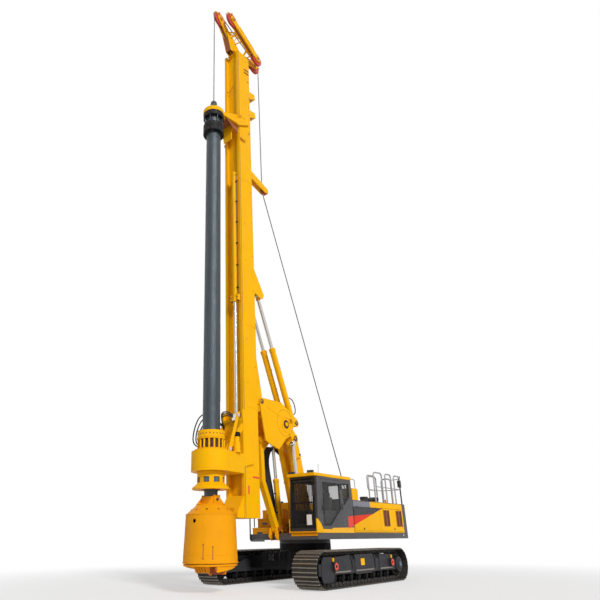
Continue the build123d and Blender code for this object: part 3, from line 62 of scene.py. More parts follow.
def low(node):
    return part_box(node)[0]


def high(node):
    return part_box(node)[1]


def middle(node):
    return (low(node) + high(node)) / 2


def pin_at(joint):
    return Vector(JOINTS[joint]["pos_m"])


def stroke_of(joint):
    return Vector(JOINTS[joint]["axis"])


def spoke(angle):
    """The outward direction at an angle round the vertical, and the direction square to it."""
    way = Vector((math.cos(angle), math.sin(angle), 0))
    return way, Z.cross(way)


def placed(name, data):
    """A new object in the scene."""
    made = bpy.data.objects.new(name, data)
    bpy.context.scene.collection.objects.link(made)
    return made


# ---- materials ------------------------------------------------------------------------------
class Graph:
    """The node tree of a material or world, with short calls for what every finish here uses."""

    def __init__(self, owner):
        owner.use_nodes = True
        self.owner, self.tree = owner, owner.node_tree
        self.tree.nodes.clear()
        self.place = self.node("ShaderNodeTexCoord").outputs["Object"]
        self.axis = self.node("ShaderNodeSeparateXYZ", {0: self.place}).outputs

    def node(self, kind, inputs=None, **settings):
        made = self.tree.nodes.new(kind)
        for key, value in settings.items():
            setattr(made, key, value)
        for key, value in (inputs or {}).items():
            if isinstance(value, bpy.types.NodeSocket):
                self.tree.links.new(value, made.inputs[key])
            else:
                made.inputs[key].default_value = value
        return made

    def math(self, what, a, b=0.0):
        return self.node("ShaderNodeMath", {0: a, 1: b}, operation=what).outputs[0]

    def mix(self, share, a, b):
        ends = [v if isinstance(v, bpy.types.NodeSocket) else (*v[:3], 1) for v in (a, b)]
        return self.node("ShaderNodeMix", {0: share, 6: ends[0], 7: ends[1]}, data_type="RGBA").outputs[2]

    def noise(self, scale, detail=5.0, rough=0.6, stretch=None):
        where = self.place
        if stretch:
            where = self.node("ShaderNodeMapping", {0: self.place, 3: stretch}).outputs[0]
        return self.node("ShaderNodeTexNoise", {0: where, 2: scale, 3: detail, 4: rough}).outputs[0]

    def step(self, value, start, end, least=0.0, most=1.0):
        """A smooth step from least to most as value goes from start to end."""
        inputs = {0: value, 1: start, 2: end, 3: least, 4: most}
        return self.node("ShaderNodeMapRange", inputs, interpolation_type="SMOOTHSTEP").outputs[0]

    def edges(self, radius):
        """A mask that is 1 along outer edges, and the normal rounded over them."""
        rounded_normal = self.node("ShaderNodeBevel", {0: radius}, samples=4).outputs[0]
        plain = self.node("ShaderNodeNewGeometry").outputs["Normal"]
        made = self.node("ShaderNodeVectorMath", {0: rounded_normal, 1: plain}, operation="DOT_PRODUCT")
        return self.step(made.outputs["Value"], 0.985, 0.80), rounded_normal

    def polygon(self, corners, outer):
        """1 inside a convex outline of (Y, Z) corners, listed clockwise from outside, past X = outer."""
        mask = self.math("GREATER_THAN", self.axis[0], outer)
        for (y0, z0), (y1, z1) in zip(corners, corners[1:] + corners[:1]):
            side = self.math("ADD", self.math("MULTIPLY", self.axis[1], z1 - z0),
                             self.math("MULTIPLY", self.axis[2], y0 - y1))
            limit = y0 * (z1 - z0) + z0 * (y0 - y1)
            mask = self.math("MULTIPLY", mask, self.math("GREATER_THAN", side, limit))
        return mask

    def straight_rays(self):
        """1 for rays from the camera, also by way of gloss or glass."""
        paths = self.node("ShaderNodeLightPath").outputs
        seen = self.math("MAXIMUM", paths["Is Camera Ray"], paths["Is Glossy Ray"])
        return self.math("MAXIMUM", seen, paths["Is Transmission Ray"])

    def close(self, shader, kind="ShaderNodeOutputMaterial"):
        self.node(kind, {0: shader.outputs[0]})
        return self.owner


GRIME, SCUFF = (0.16, 0.11, 0.07), (0.55, 0.5, 0.42)     # what lies on a surface, and what shows where it is worn


def finish(name, colour, rough=0.4, metal=0.0, coat=0.0, vary=0.10, dirt=0.25, dirt_colour=GRIME, wear=0.35,
           wear_colour=SCUFF, grain=90.0, bump=0.02, streak=None, zones=(), shine=0.35):
    """A weathered surface: uneven colour, grime in streaks, worn edges, a fine skin and zones of other colours."""
    g = Graph(bpy.data.materials.new(name))
    base = g.mix(g.noise(0.9, 4), [c * (1 - vary) for c in colour], [min(c * (1 + vary), 1) for c in colour])
    for corners, other in zones:
        base = g.mix(g.polygon(corners, SIDE_FACE), base, other)
    if streak:
        scale, stretch, most = streak
        lines = g.step(g.noise(scale, 3, 0.5, stretch), 0.45, 0.75, 0.0, most)
        base = g.mix(lines, base, [c * 0.55 for c in colour])
    soil = g.noise(2.3, 8, 0.68, (1.0, 1.0, 0.35))
    base = g.mix(g.step(soil, 0.52, 0.82, 0.0, dirt), base, dirt_colour)
    mask, rounded_normal = g.edges(0.006)
    chips = g.math("MULTIPLY", mask, g.step(g.noise(14.0, 6, 0.7), 0.45, 0.62, 0.0, wear))
    relief = g.node("ShaderNodeBump", {"Strength": 0.35, "Distance": bump, "Height": g.noise(grain, 3, 0.55),
                                       "Normal": rounded_normal})
    rub = g.step(g.noise(5.0, 6, 0.7), 0.25, 0.8, max(rough - 0.10, 0.03), min(rough + 0.14, 1.0))
    return g.close(g.node("ShaderNodeBsdfPrincipled", {
        "Base Color": g.mix(chips, base, wear_colour), "Metallic": metal, "Roughness": rub, "Coat Weight": coat,
        "Normal": relief.outputs[0], "Coat Roughness": 0.15, "Specular IOR Level": shine}))


def glass(name, tint, cover):
    """Tinted safety glass with faint dust."""
    g = Graph(bpy.data.materials.new(name))
    dust = g.step(g.noise(3.0, 7, 0.7), 0.45, 0.85, 0.0, 0.22)
    veil = g.math("ADD", cover, g.math("MULTIPLY", dust, 0.5))
    return g.close(g.node("ShaderNodeBsdfPrincipled", {
        "Base Color": g.mix(dust, tint, (0.5, 0.48, 0.44)), "Roughness": g.step(dust, 0.0, 0.25, 0.03, 0.25),
        "IOR": 1.5, "Alpha": veil}))


YELLOW, ORANGE, SIGNAL_RED = (0.92, 0.455, 0.0015), (0.86, 0.345, 0.004), (0.74, 0.045, 0.020)
CHARCOAL, HOOD_GREY = (0.062, 0.060, 0.065), (0.215, 0.215, 0.245)
SIDE_FACE = high("cab_roof").x - 0.06      # paint past this X is on the house's outer side wall

# The stripes of the house's side as (Y, Z) outlines.
GREY_WEDGE = [(0.54, 1.60), (0.54, 2.29), (3.02, 2.29)]
RED_WEDGE = [(0.54, 1.60), (0.54, 1.97), (2.30, 2.09)]
GREY_HOOD = [(0.58, 2.29), (0.58, 2.52), (2.13, 2.52), (2.13, 2.29)]
CAB_BAND = [(-1.40, 1.44), (-1.40, 1.60), (0.95, 1.64), (0.95, 1.44)]

# Ways a surface weathers, shared by several finishes.
PAINT = dict(rough=0.42, shine=0.07, dirt=0.13, dirt_colour=(0.30, 0.15, 0.04), wear_colour=(0.42, 0.24, 0.08))
DUSTY = dict(rough=0.45, dirt=0.30, dirt_colour=(0.20, 0.18, 0.15), wear_colour=(0.22, 0.22, 0.22))
RUSTY = dict(dirt_colour=(0.13, 0.095, 0.065), vary=0.2, grain=60)
LENS = dict(coat=0.8, dirt=0.10, wear=0.0)

yellow = finish("yellow_gloss", YELLOW, **PAINT)
house_yellow = finish("yellow_striped", YELLOW, **PAINT, zones=[
    (GREY_WEDGE, CHARCOAL), (RED_WEDGE, SIGNAL_RED), (GREY_HOOD, HOOD_GREY)])
orange = finish("orange_worn", ORANGE, 0.46, shine=0.08, dirt=0.3, dirt_colour=(0.24, 0.09, 0.02), wear=0.6,
                wear_colour=(0.20, 0.13, 0.08), vary=0.13, bump=0.03)
charcoal = finish("charcoal_paint", CHARCOAL, **DUSTY)
cab_paint = finish("cab_banded", CHARCOAL, **DUSTY, zones=[(CAB_BAND, YELLOW), (RED_WEDGE, SIGNAL_RED)])
black = finish("black_paint", (0.009, 0.009, 0.010), 0.55, shine=0.12, dirt=0.35, dirt_colour=(0.11, 0.10, 0.085),
               wear_colour=(0.12, 0.12, 0.12))
frame_paint = finish("track_frame_paint", (0.030, 0.030, 0.034), 0.5, shine=0.16, dirt=0.45,
                     dirt_colour=(0.17, 0.15, 0.12), wear_colour=(0.20, 0.19, 0.18))
shoe_plate = finish("shoe_plate", (0.050, 0.045, 0.040), 0.6, 0.5, dirt=0.6, dirt_colour=(0.10, 0.07, 0.05),
                    wear=0.3, vary=0.2, bump=0.05, grain=60)
bar_steel = finish("bar_steel", (0.26, 0.235, 0.20), 0.45, 0.7, dirt=0.5, wear=0.9, wear_colour=(0.60, 0.56, 0.50),
                   bump=0.04, **RUSTY)
steel = finish("shoe_steel", (0.105, 0.094, 0.080), 0.48, 0.75, dirt=0.6, wear=0.8, wear_colour=(0.42, 0.39, 0.35),
               bump=0.05, **RUSTY)
kelly_steel = finish("kelly_steel", (0.058, 0.072, 0.082), 0.40, 0.55, dirt_colour=(0.13, 0.12, 0.11), wear=0.7,
                     wear_colour=(0.32, 0.33, 0.34), streak=(7.0, (1.0, 1.0, 0.06), 0.5))
chrome = finish("rod_chrome", (0.60, 0.585, 0.56), 0.20, 1.0, dirt=0.12, dirt_colour=(0.4, 0.38, 0.35), wear=0.0,
                vary=0.03, bump=0.003, grain=220, streak=(20.0, (1, 1, 0.1), 0.15))
rail_grey = finish("rail_galvanised", (0.36, 0.36, 0.375), 0.42, 0.6, grain=45, wear_colour=(0.5, 0.5, 0.5))
sheave_red = finish("sheave_red", (0.55, 0.05, 0.035), 0.45, dirt=0.35, wear=0.7, wear_colour=(0.4, 0.38, 0.36))
engine_grey = finish("engine_cast", (0.16, 0.165, 0.17), 0.6, 0.2, dirt=0.5, bump=0.06, grain=30)
rope_wire = finish("rope_wire", (0.22, 0.22, 0.225), 0.45, 0.6, dirt=0.35, dirt_colour=(0.12, 0.10, 0.08), wear=0.0)
rubber = finish("rubber", (0.022, 0.022, 0.023), 0.62, dirt=0.30, dirt_colour=(0.13, 0.12, 0.10), wear=0.0,
                bump=0.01, grain=160)
lens = finish("lamp_lens", (0.80, 0.81, 0.82), 0.10, **LENS)
amber = finish("amber_lens", (0.95, 0.26, 0.02), 0.18, **LENS)
red_paint = finish("red_paint", SIGNAL_RED, 0.38, coat=0.2, wear_colour=(0.3, 0.25, 0.2))
rust_red = finish("tooth_red", (0.42, 0.085, 0.020), 0.5, dirt=0.4, wear=0.8, wear_colour=(0.35, 0.3, 0.26))
# Darker orange with vertical streaks: painted shade of the mast's front face, plus wear streaks along the rails.
rail_steel = finish("rail_painted_shade_and_wear", (0.80, 0.36, 0.004), shine=0.2, dirt=0.3, dirt_colour=(0.25, 0.14, 0.05),
                    streak=(9.0, (1.0, 1.0, 0.03), 0.35))
# Red-brown: the louvres' own paint, and also painted shade on sheets under the guide, the head's arms and the mast's
# brackets.
red_brown_and_shade = finish("louvre_brown_and_painted_shade", (0.30, 0.085, 0.022), 0.5, dirt=0.3, wear=0.3)
# Near-black painted shade, set as sheets inside openings, holes and hollows where only shade falls.
painted_opening_shade = finish("painted_opening_shade", (0.055, 0.020, 0.012), 0.7, dirt=0.3, wear=0.0)
screen_grey = finish("screen_grey", (0.05, 0.06, 0.07), 0.2, coat=0.5, wear=0.0)
fabric = finish("seat_cloth", (0.060, 0.058, 0.062), 0.85, dirt=0.15, wear=0.0, grain=420, vary=0.2)
window = glass("window_glass", (0.045, 0.050, 0.044), 0.20)
blue_glass = glass("sight_glass", (0.05, 0.12, 0.19), 0.9)

FINISHES = {
    yellow: "boom front_link mast_carrier mast_cylinder_barrels lift_cylinder_barrels mast mast_head rope_bracket "
            "crowd_cylinder_barrel rotary_drive drive_adapter kelly_guide cab_roof hood_fittings",
    house_yellow: "left_housing right_housing side_door_front side_door_rear",
    orange: "bucket bucket_gate front_steps boom_brackets",
    charcoal: "house_frame counterweight winch_frame winch_drum cab_door",
    cab_paint: "cab_shell",
    black: "carbody cross_beams track_wheels cab_guard",
    frame_paint: "track_frames",
    steel: "track_left track_right",
    kelly_steel: "kelly_bar",
    chrome: "lift_cylinder_rods mast_cylinder_rods crowd_cylinder_rod",
    rail_grey: "handrails",
    sheave_red: "rope_sheaves",
    engine_grey: "engine_block",
    rope_wire: "hoist_rope_lead hoist_rope_lower hoist_rope_upper",
    fabric: "cab_interior",
    window: "cab_glass door_glass",
}
for material, names in FINISHES.items():
    for name in names.split():
        for held in frame["nodes"][name].material_slots:
            held.material = material


# ---- camera, light, floor -------------------------------------------------------------------
CAMERA_AT = Vector((11.096, -16.15, 1.292))
CAMERA_YAW, CAMERA_PITCH, CAMERA_ROLL = (math.radians(a) for a in (40.331, 23.141, -0.677))
CAMERA_LENS = 32.336
CAMERA_SHIFT = (0.1057, 0.0166)
SKY_STRENGTH = 0.34
FLOOR_HALF = 150.0
FLOOR_FADE = (7.0, 19.0)      # the pale floor turns white between these distances


def make_camera():
    """The camera at the photograph's viewing angle."""
    level, _ = spoke(CAMERA_YAW)
    look = Z.cross(level) * math.cos(CAMERA_PITCH) + Z * math.sin(CAMERA_PITCH)
    up = level.cross(look)
    right = math.cos(CAMERA_ROLL) * level + math.sin(CAMERA_ROLL) * up
    up = -math.sin(CAMERA_ROLL) * level + math.cos(CAMERA_ROLL) * up
    data = bpy.data.cameras.new("camera")
    data.lens, data.clip_end = CAMERA_LENS, 400
    data.shift_x, data.shift_y = CAMERA_SHIFT
    camera = placed("camera", data)
    camera.matrix_world = Matrix.Translation(CAMERA_AT) @ Matrix((right, up, -look)).transposed().to_4x4()
    bpy.context.scene.camera = camera


def make_sun(name, direction, strength, angle):
    """A soft distant lamp that shines along a direction."""
    data = bpy.data.lights.new(name, "SUN")
    data.energy, data.angle = strength, math.radians(angle)
    placed(name, data).matrix_world = Vector(direction).to_track_quat("-Z", "Y").to_matrix().to_4x4()


def make_world():
    """A white surround that also shows in gloss and glass, and an even sky light."""
    world = bpy.context.scene.world = bpy.data.worlds.new("studio")
    g = Graph(world)
    strength = g.node("ShaderNodeMapRange", {0: g.straight_rays(), 3: SKY_STRENGTH, 4: 1.0}).outputs[0]
    g.close(g.node("ShaderNodeBackground", {0: (1, 1, 1, 1), 1: strength}), "ShaderNodeOutputWorld")


def make_floor():
    """A plain pale floor that keeps the shadow and runs out to white."""
    mesh = bpy.data.meshes.new("floor")
    r = FLOOR_HALF
    mesh.from_pydata([(-r, -r, 0), (r, -r, 0), (r, r, 0), (-r, r, 0)], [], [(0, 1, 2, 3)])
    g = Graph(bpy.data.materials.new("floor"))
    away = g.node("ShaderNodeVectorMath", {0: g.place}, operation="LENGTH").outputs["Value"]
    share = g.math("MULTIPLY", g.step(away, *FLOOR_FADE, 0.45, 1.0), g.straight_rays())
    pale = g.mix(g.noise(0.6, 3), (0.80, 0.80, 0.80), (0.84, 0.84, 0.84))
    shader = g.node("ShaderNodeBsdfPrincipled", {"Base Color": pale, "Roughness": 0.8})
    white = g.node("ShaderNodeEmission", {"Color": (1, 1, 1, 1), "Strength": 1.0})
    both = g.node("ShaderNodeMixShader", {0: share, 1: shader.outputs[0], 2: white.outputs[0]})
    mesh.materials.append(g.close(both))
    placed("floor", mesh)


make_camera()
make_world()
make_sun("key", (-0.80, 0.36, -0.54), 2.45, 12)
make_sun("fill", (0.75, 0.5, -0.25), 0.10, 40)
make_floor()
bpy.context.scene.view_settings.view_transform = "Standard"


# ---- shapes ---------------------------------------------------------------------------------
def turns(count, first=0.0):
    """Equal steps of angle round a circle."""
    return [math.tau * (i + first) / count for i in range(count)]


def across(axis):
    """Two directions square to an axis and to each other."""
    axis = Vector(axis).normalized()
    first = axis.cross(X if abs(axis.x) < 0.9 else Y).normalized()
    return first, axis.cross(first).normalized()


def circle(centre, u, v, radius, count, turn=0.0):
    """Points round a centre in the plane of two directions."""
    return [centre + (u * math.cos(turn + a) + v * math.sin(turn + a)) * radius for a in turns(count)]


def rounded(corners, radius, steps=4):
    """The corners of a path with each inner one turned into a short curve."""
    points = [Vector(p) for p in corners]
    path = [points[0]]
    for before, corner, after in zip(points, points[1:], points[2:]):
        reach = min(radius, (before - corner).length / 2, (after - corner).length / 2)
        start = corner + (before - corner).normalized() * reach
        end = corner + (after - corner).normalized() * reach
        for t in (step / steps for step in range(steps + 1)):
            path.append(start * (1 - t) ** 2 + corner * 2 * t * (1 - t) + end * t * t)
    return path + [points[-1]]


class Piece:
    """Plain solids gathered into one mesh, each with its own finish."""

    def __init__(self, name, body, bevel=0.004, angle=35.0):
        self.name, self.body, self.bevel, self.angle = name, body, bevel, angle
        self.points, self.faces, self.materials, self.finishes = [], [], [], []

    def rings(self, rings, material, ends=True):
        """A skin over rings of as many points each, closed at both ends."""
        n, start = len(rings[0]), len(self.points)
        faces = [[k * n + i, k * n + (i + 1) % n, (k + 1) * n + (i + 1) % n, (k + 1) * n + i]
                 for k in range(len(rings) - 1) for i in range(n)]
        if ends:
            faces += [list(range(n))[::-1], [(len(rings) - 1) * n + i for i in range(n)]]
        self.points.extend(Vector(p) for ring in rings for p in ring)
        self.faces.extend([start + i for i in face] for face in faces)
        if material not in self.materials:
            self.materials.append(material)
        self.finishes.extend([self.materials.index(material)] * len(faces))

    def block(self, at, us, vs, ws, material):
        """A block beside a point: three directions, each with its (direction, from, to)."""
        (u, u0, u1), (v, v0, v1), (w, w0, w1) = us, vs, ws
        ring = [(u0, v0), (u1, v0), (u1, v1), (u0, v1)]
        self.rings([[at + u * a + v * b + w * c for a, b in ring] for c in (w0, w1)], material)

    def box(self, a, b, material):
        """A box between two opposite corners, in any order."""
        x, y, z = (sorted(pair) for pair in zip(a, b))
        self.block(Vector(), (X, *x), (Y, *y), (Z, *z), material)

    def plate(self, outline, x0, x1, material):
        """A plate with an outline of (Y, Z) corners."""
        self.rings([[(x, y, z) for y, z in outline] for x in sorted((x0, x1))], material)

    def web(self, outline, x, half, material):
        """A plate with an outline of (Y, Z) corners, centred on an X."""
        self.plate(outline, x - half, x + half, material)

    def front(self, outline, y0, y1, material):
        """A plate with an outline of (X, Z) corners."""
        self.rings([[(x, y, z) for x, z in outline] for y in (y0, y1)], material)

    def lathe(self, base, axis, profile, material, sides=20, ends=True):
        """A round solid along an axis from (distance, radius) pairs."""
        base, axis = Vector(base), Vector(axis).normalized()
        u, v = across(axis)
        self.rings([circle(base + axis * along, u, v, radius, sides) for along, radius in profile], material, ends)

    def rod(self, a, b, radius, material, sides=14):
        a, b = Vector(a), Vector(b)
        self.lathe(a, b - a, [(0, radius), ((b - a).length, radius)], material, sides)

    def ring(self, centre, axis, outer, inner, length, material, sides=28):
        """A washer from a centre along an axis."""
        profile = [(0, inner), (0, outer), (length, outer), (length, inner), (0, inner)]
        self.lathe(centre, axis, profile, material, sides, ends=False)

    def bolt(self, at, axis, radius, material):
        self.lathe(at, axis, [(0, radius * 1.6), (radius * 0.35, radius * 1.6)], material, 10)
        self.lathe(at, axis, [(radius * 0.3, radius), (radius * 1.1, radius)], material, 6)

    def bolts(self, centre, axis, reach, count, radius, material):
        """A circle of bolts on a face."""
        for at in circle(Vector(centre), *across(axis), reach, count):
            self.bolt(at, axis, radius, material)

    def tube(self, path, radius, material, sides=8):
        """A round tube along a path, with closed ends."""
        path = [Vector(p) for p in path]
        ways = [(b - a).normalized() for a, b in zip(path, path[1:])]
        ways = [ways[0]] + [(a + b).normalized() for a, b in zip(ways, ways[1:])] + [ways[-1]]
        u = across(ways[0])[0]
        loops = []
        for point, way in zip(path, ways):
            u = (u - way * u.dot(way)).normalized()
            loops.append(circle(point, u, way.cross(u), radius, sides))
        self.rings(loops, material)

    def mesh(self):
        """The object, with outward faces and rounded edges, riding on nothing yet."""
        mesh = bpy.data.meshes.new(self.name)
        mesh.from_pydata(self.points, [], self.faces)
        for material in self.materials:
            mesh.materials.append(material)
        mesh.polygons.foreach_set("material_index", self.finishes)
        work = bmesh.new()
        work.from_mesh(mesh)
        bmesh.ops.recalc_face_normals(work, faces=work.faces)
        work.to_mesh(mesh)
        work.free()
        mesh.shade_smooth()
        mesh.set_sharp_from_angle(angle=math.radians(self.angle))
        made = placed(self.name, mesh)
        if self.bevel:
            edge = made.modifiers.new("edges", "BEVEL")
            edge.width, edge.segments, edge.limit_method = self.bevel, 2, "ANGLE"
            edge.angle_limit = math.radians(self.angle + 5)
            edge.harden_normals = True
        return made

    def done(self, *replaced, slot=None):
        """The object, which rides on the piece's body and may stand for CAD nodes."""
        made = self.mesh()
        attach(made, self.body)
        if replaced:
            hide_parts(*replaced)
        return made


# ---- tracks ---------------------------------------------------------------------------------
SHOES = 58
GROUSER = 0.025               # rise of the tallest bar on a shoe
ROLLERS, ROLLER_PITCH = 8, 0.47
SPROCKET_TEETH = 22
PANEL_LOW, PANEL_TOP = 0.42, 0.86


def track_station(share, reach, radius, centre):
    """The point, direction and outward side at this share of the way round a track."""
    half = 2 * reach + math.pi * radius
    far, turn = (share * 2 * half, 1) if share < 0.5 else (share * 2 * half - half, -1)
    if far < 2 * reach:
        way, out = Y, -Z
        at = Y * (far - reach) - Z * radius
    else:
        a = (far - 2 * reach) / radius
        way, out = Vector((0, math.cos(a), math.sin(a))), Vector((0, math.sin(a), -math.cos(a)))
        at = Y * reach + out * radius
    return centre + at * turn, way * turn, out * turn


def make_track(node):
    """Shoes with two bars each, their bolts, and the two rows of links under them."""
    lo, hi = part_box(node)
    radius, half = (hi.z - lo.z) / 2 - GROUSER, (hi.x - lo.x) / 2
    reach = (hi.y - lo.y) / 2 - radius - GROUSER
    pitch = (4 * reach + math.tau * radius) / SHOES
    piece = Piece(node + "_shoes", "undercarriage", bevel=0)
    for shoe in range(SHOES):
        at, way, out = track_station((shoe + 0.5) / SHOES, reach, radius, (lo + hi) / 2)

        def block(x0, x1, t0, t1, n0, n1, material=shoe_plate):
            piece.block(at, (X, x0, x1), (way, t0, t1), (out, n0, n1), material)

        block(-half, half, -pitch * 0.485, pitch * 0.485, -0.022, -0.004)
        for bar, rise in ((-0.30, GROUSER), (0.24, GROUSER - 0.004)):
            block(-half, half, pitch * bar - 0.012, pitch * bar + 0.012, -0.006, rise, bar_steel)
        for side in (-0.115, 0.115):
            block(side - 0.028, side + 0.028, -pitch * 0.47, pitch * 0.30, -0.128, -0.020)
            block(side * 0.66 - 0.018, side * 0.66 + 0.018, pitch * 0.20, pitch * 0.53, -0.118, -0.030)
            for t in (-0.22, 0.19):
                foot = at + X * side * 1.25 + way * pitch * t - out * 0.005
                piece.lathe(foot, out, [(0, 0.017), (0.012, 0.017)], steel, 6)
        joint = at + way * pitch / 2 - out * 0.075
        piece.rod(joint - X * 0.155, joint + X * 0.155, 0.024, steel, 8)
    piece.done(node, slot="track_steel")


def make_hubs(name, side, hub_x, track_x, ends, axle):
    """Hub covers, their bolts, and sprocket teeth between the links."""
    out_x = X * side
    covers = Piece(name + "_hub_covers", "undercarriage")
    bolts = Piece(name + "_hub_bolts", "undercarriage", bevel=0)
    for y in ends:
        covers.lathe((hub_x - side * 0.02, y, axle), out_x,
                     [(0, 0.150), (0.020, 0.150), (0.034, 0.11), (0.036, 0.05), (0.045, 0.05)], black, 28)
        covers.ring((track_x + side * 0.148, y, axle), out_x, 0.345, 0.250, 0.016, black, 40)
        bolts.bolts((hub_x, y, axle), out_x, 0.125, 12, 0.009, steel)
        bolts.bolts((track_x + side * 0.164, y, axle), out_x, 0.30, 20, 0.012, steel)
    foot, tooth = Vector((track_x, ends[1], axle)), ((-0.03, -1), (0.03, -1), (0.03, 1), (-0.03, 1))
    for a in turns(SPROCKET_TEETH):
        out, way = Vector((0, math.cos(a), math.sin(a))), Vector((0, -math.sin(a), math.cos(a)))
        bolts.rings([[foot + X * x + way * t * half + out * r for x, t in tooth]
                     for r, half in ((0.30, 0.034), (0.375, 0.016))], steel)
    covers.done(slot="black_paint")
    bolts.done(slot="track_steel")


def make_frame_panels(name, side, outer, track_x, ends, axle):
    """Panels, recesses, guards and the drive's cover on the outside of a track frame."""
    lo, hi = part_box("track_frames")
    mid_y, nose = sum(ends) / 2, ends[0]
    face, thick = side * outer, side * (outer + 0.014)
    gear = Piece(name + "_frame_panels", "undercarriage", bevel=0.005)
    for y0, y1, cut in ((-1.44, -0.53, 0.05), (-0.23, 0.92, 0.0), (1.34, 2.22, -0.06)):
        gear.plate([(y0, PANEL_LOW), (y1, PANEL_LOW), (y1, PANEL_TOP + min(cut, 0)), (y0, PANEL_TOP - max(cut, 0))],
                   face, thick, frame_paint)
        gear.box((face, y0 + 0.02, 0.40), (face + side * 0.034, y1 - 0.02, 0.44), bar_steel)
    for y0, y1 in ((-0.53, -0.23), (0.92, 1.34)):
        gear.box((face - side * 0.06, y0, PANEL_LOW), (face - side * 0.045, y1, 0.84), black)
        gear.box((face - side * 0.05, y0 + 0.10, 0.46), (face, y0 + 0.16, 0.80), frame_paint)
    for x in (track_x - 0.27, track_x + 0.16):         # the frame's upper deck under the track
        gear.box((x, lo.y + 0.62, 0.70), (x + 0.11, hi.y - 0.62, 0.835), black)
    for y0, y1, drop in ((-1.55, -0.95, 0.05), (-0.62, 0.55, 0.09), (0.85, 1.52, 0.05)):  # roller guards
        y0, y1 = mid_y + y0, mid_y + y1
        gear.web([(y0, 0.41), (y1, 0.41), (y1 - 0.10, 0.41 - drop), (y0 + 0.10, 0.41 - drop)], face, 0.012, frame_paint)
    gear.plate([(nose + y, z) for y, z in ((0.02, 0.17), (0.56, 0.17), (0.60, 0.30), (0.60, 0.72), (0.50, 0.83),
                                           (0.06, 0.83), (-0.02, 0.70), (-0.06, 0.30))],
               face - side * 0.005, thick, frame_paint)
    gear.box((thick, 0.13, 0.55), (thick + side * 0.006, 0.36, 0.74), yellow)
    drive = Vector((face, ends[1] - 0.03, axle))
    gear.lathe(drive, X * side, [(-0.02, 0.235), (0.045, 0.235), (0.055, 0.20), (0.06, 0.15), (0.085, 0.14),
                                 (0.095, 0.06)], frame_paint, 32)
    gear.lathe(drive + X * side * 0.093, X * side, [(0, 0.075), (0.006, 0.070), (0.010, 0.03)], blue_glass, 20)
    gear.done(slot="charcoal_paint")


def make_rollers(name, side, track_x, mid_y):
    """The ends and brackets of the bottom rollers and the carrier rollers."""
    rollers = Piece(name + "_roller_ends", "undercarriage")
    for y in (mid_y + (i - (ROLLERS - 1) / 2) * ROLLER_PITCH for i in range(ROLLERS)):
        for inner in SIDES:
            x = track_x + inner * 0.149
            rollers.lathe((x, y, 0.246), X * inner,
                          [(0, 0.105), (0.012, 0.105), (0.024, 0.075), (0.070, 0.075), (0.078, 0.03)], black, 20)
            rollers.box((x, y - 0.055, 0.235), (x + inner * 0.09, y + 0.055, 0.352), black)
    for y in (mid_y - 0.9, mid_y + 0.9):
        rollers.lathe((track_x + side * 0.149, y, 0.795), X * side,
                      [(0, 0.060), (0.02, 0.055), (0.035, 0.03)], black, 20)
        for inner in SIDES:
            rollers.box((track_x + inner * 0.19, y - 0.05, 0.70), (track_x + inner * 0.155, y + 0.05, 0.80),
                        frame_paint)
    rollers.done(slot="black_paint")


def make_tie_eyes(name, side, outer):
    """Red rings round the tie-down eyes, and the yellow marks over them."""
    lo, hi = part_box("track_frames")
    face = side * outer
    eyes = Piece(name + "_tie_eyes", "undercarriage")
    for y, toward in ((lo.y + 0.78, 1), (hi.y - 0.78, -1)):
        eyes.ring((side * hi.x, y, 0.575), X * side, 0.098, 0.042, 0.006, red_paint, 24)
        y -= toward * 0.06
        eyes.box((face - 0.02, y - 0.03, 0.70), (face + side * 0.03 + 0.02, y + 0.03, 0.80), yellow)
    eyes.done(slot="sheave_red")


def make_carbody():
    """Ribs, covers, bolts and a pipe on the carbody between the tracks."""
    lo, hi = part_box("carbody")
    nose, mid_y = lo.y, middle("carbody").y
    body = Piece("carbody_details", "undercarriage", bevel=0.005)
    for x in (-0.72, -0.36, 0.0, 0.36, 0.72):
        body.box((x - 0.014, nose - 0.030, lo.z + 0.10), (x + 0.014, nose + 0.002, hi.z - 0.25), black)
    body.box((-0.80, nose - 0.020, lo.z + 0.16), (0.80, nose + 0.002, lo.z + 0.21), black)
    for x in (-0.54, 0.54):
        body.box((x - 0.11, nose - 0.045, lo.z + 0.26), (x + 0.11, nose + 0.002, lo.z + 0.44), frame_paint)
        at = Vector((x, nose - 0.044, lo.z + 0.35))
        body.lathe(at, -Y, [(0, 0.055), (0.030, 0.055), (0.040, 0.03)], frame_paint, 20)
        for dx, dz in ((-0.085, -0.065), (0.085, -0.065), (-0.085, 0.065), (0.085, 0.065)):
            body.bolt(at + X * dx + Z * dz, -Y, 0.011, steel)
    for side in SIDES:
        for y in (nose + 0.35, mid_y, hi.y - 0.35):
            body.box((side * hi.x, y - 0.014, lo.z + 0.10), (side * (hi.x + 0.03), y + 0.014, hi.z - 0.30), black)
    pipe = [(x, nose - y, lo.z + z) for x, y, z in ((-0.20, 0.03, 0.30), (-0.20, 0.05, 0.52), (0.22, 0.05, 0.58),
                                                    (0.22, 0.03, 0.30))]
    body.tube(rounded(pipe, 0.08), 0.016, rubber)
    body.done(slot="black_paint")


def make_undercarriage():
    """Both tracks with what shows of their running gear, and the body between them."""
    axle = middle("track_wheels").z
    ends = (low("track_left").y + 0.5, high("track_left").y - 0.5)
    outer = high("track_frames").x - 0.10               # outer side of a track frame
    make_track("track_left")
    make_track("track_right")
    for name, side in (("right", -1), ("left", 1)):
        track_x = side * middle("track_left").x
        make_hubs(name, side, side * high("track_wheels").x, track_x, ends, axle)
        make_frame_panels(name, side, outer, track_x, ends, axle)
        make_rollers(name, side, track_x, sum(ends) / 2)
        make_tie_eyes(name, side, outer)
    make_carbody()


make_undercarriage()


# ---- house ----------------------------------------------------------------------------------
HOOD_TOP = 2.50
DOOR_SILL = 1.70                # where the louvres of the rear side door start


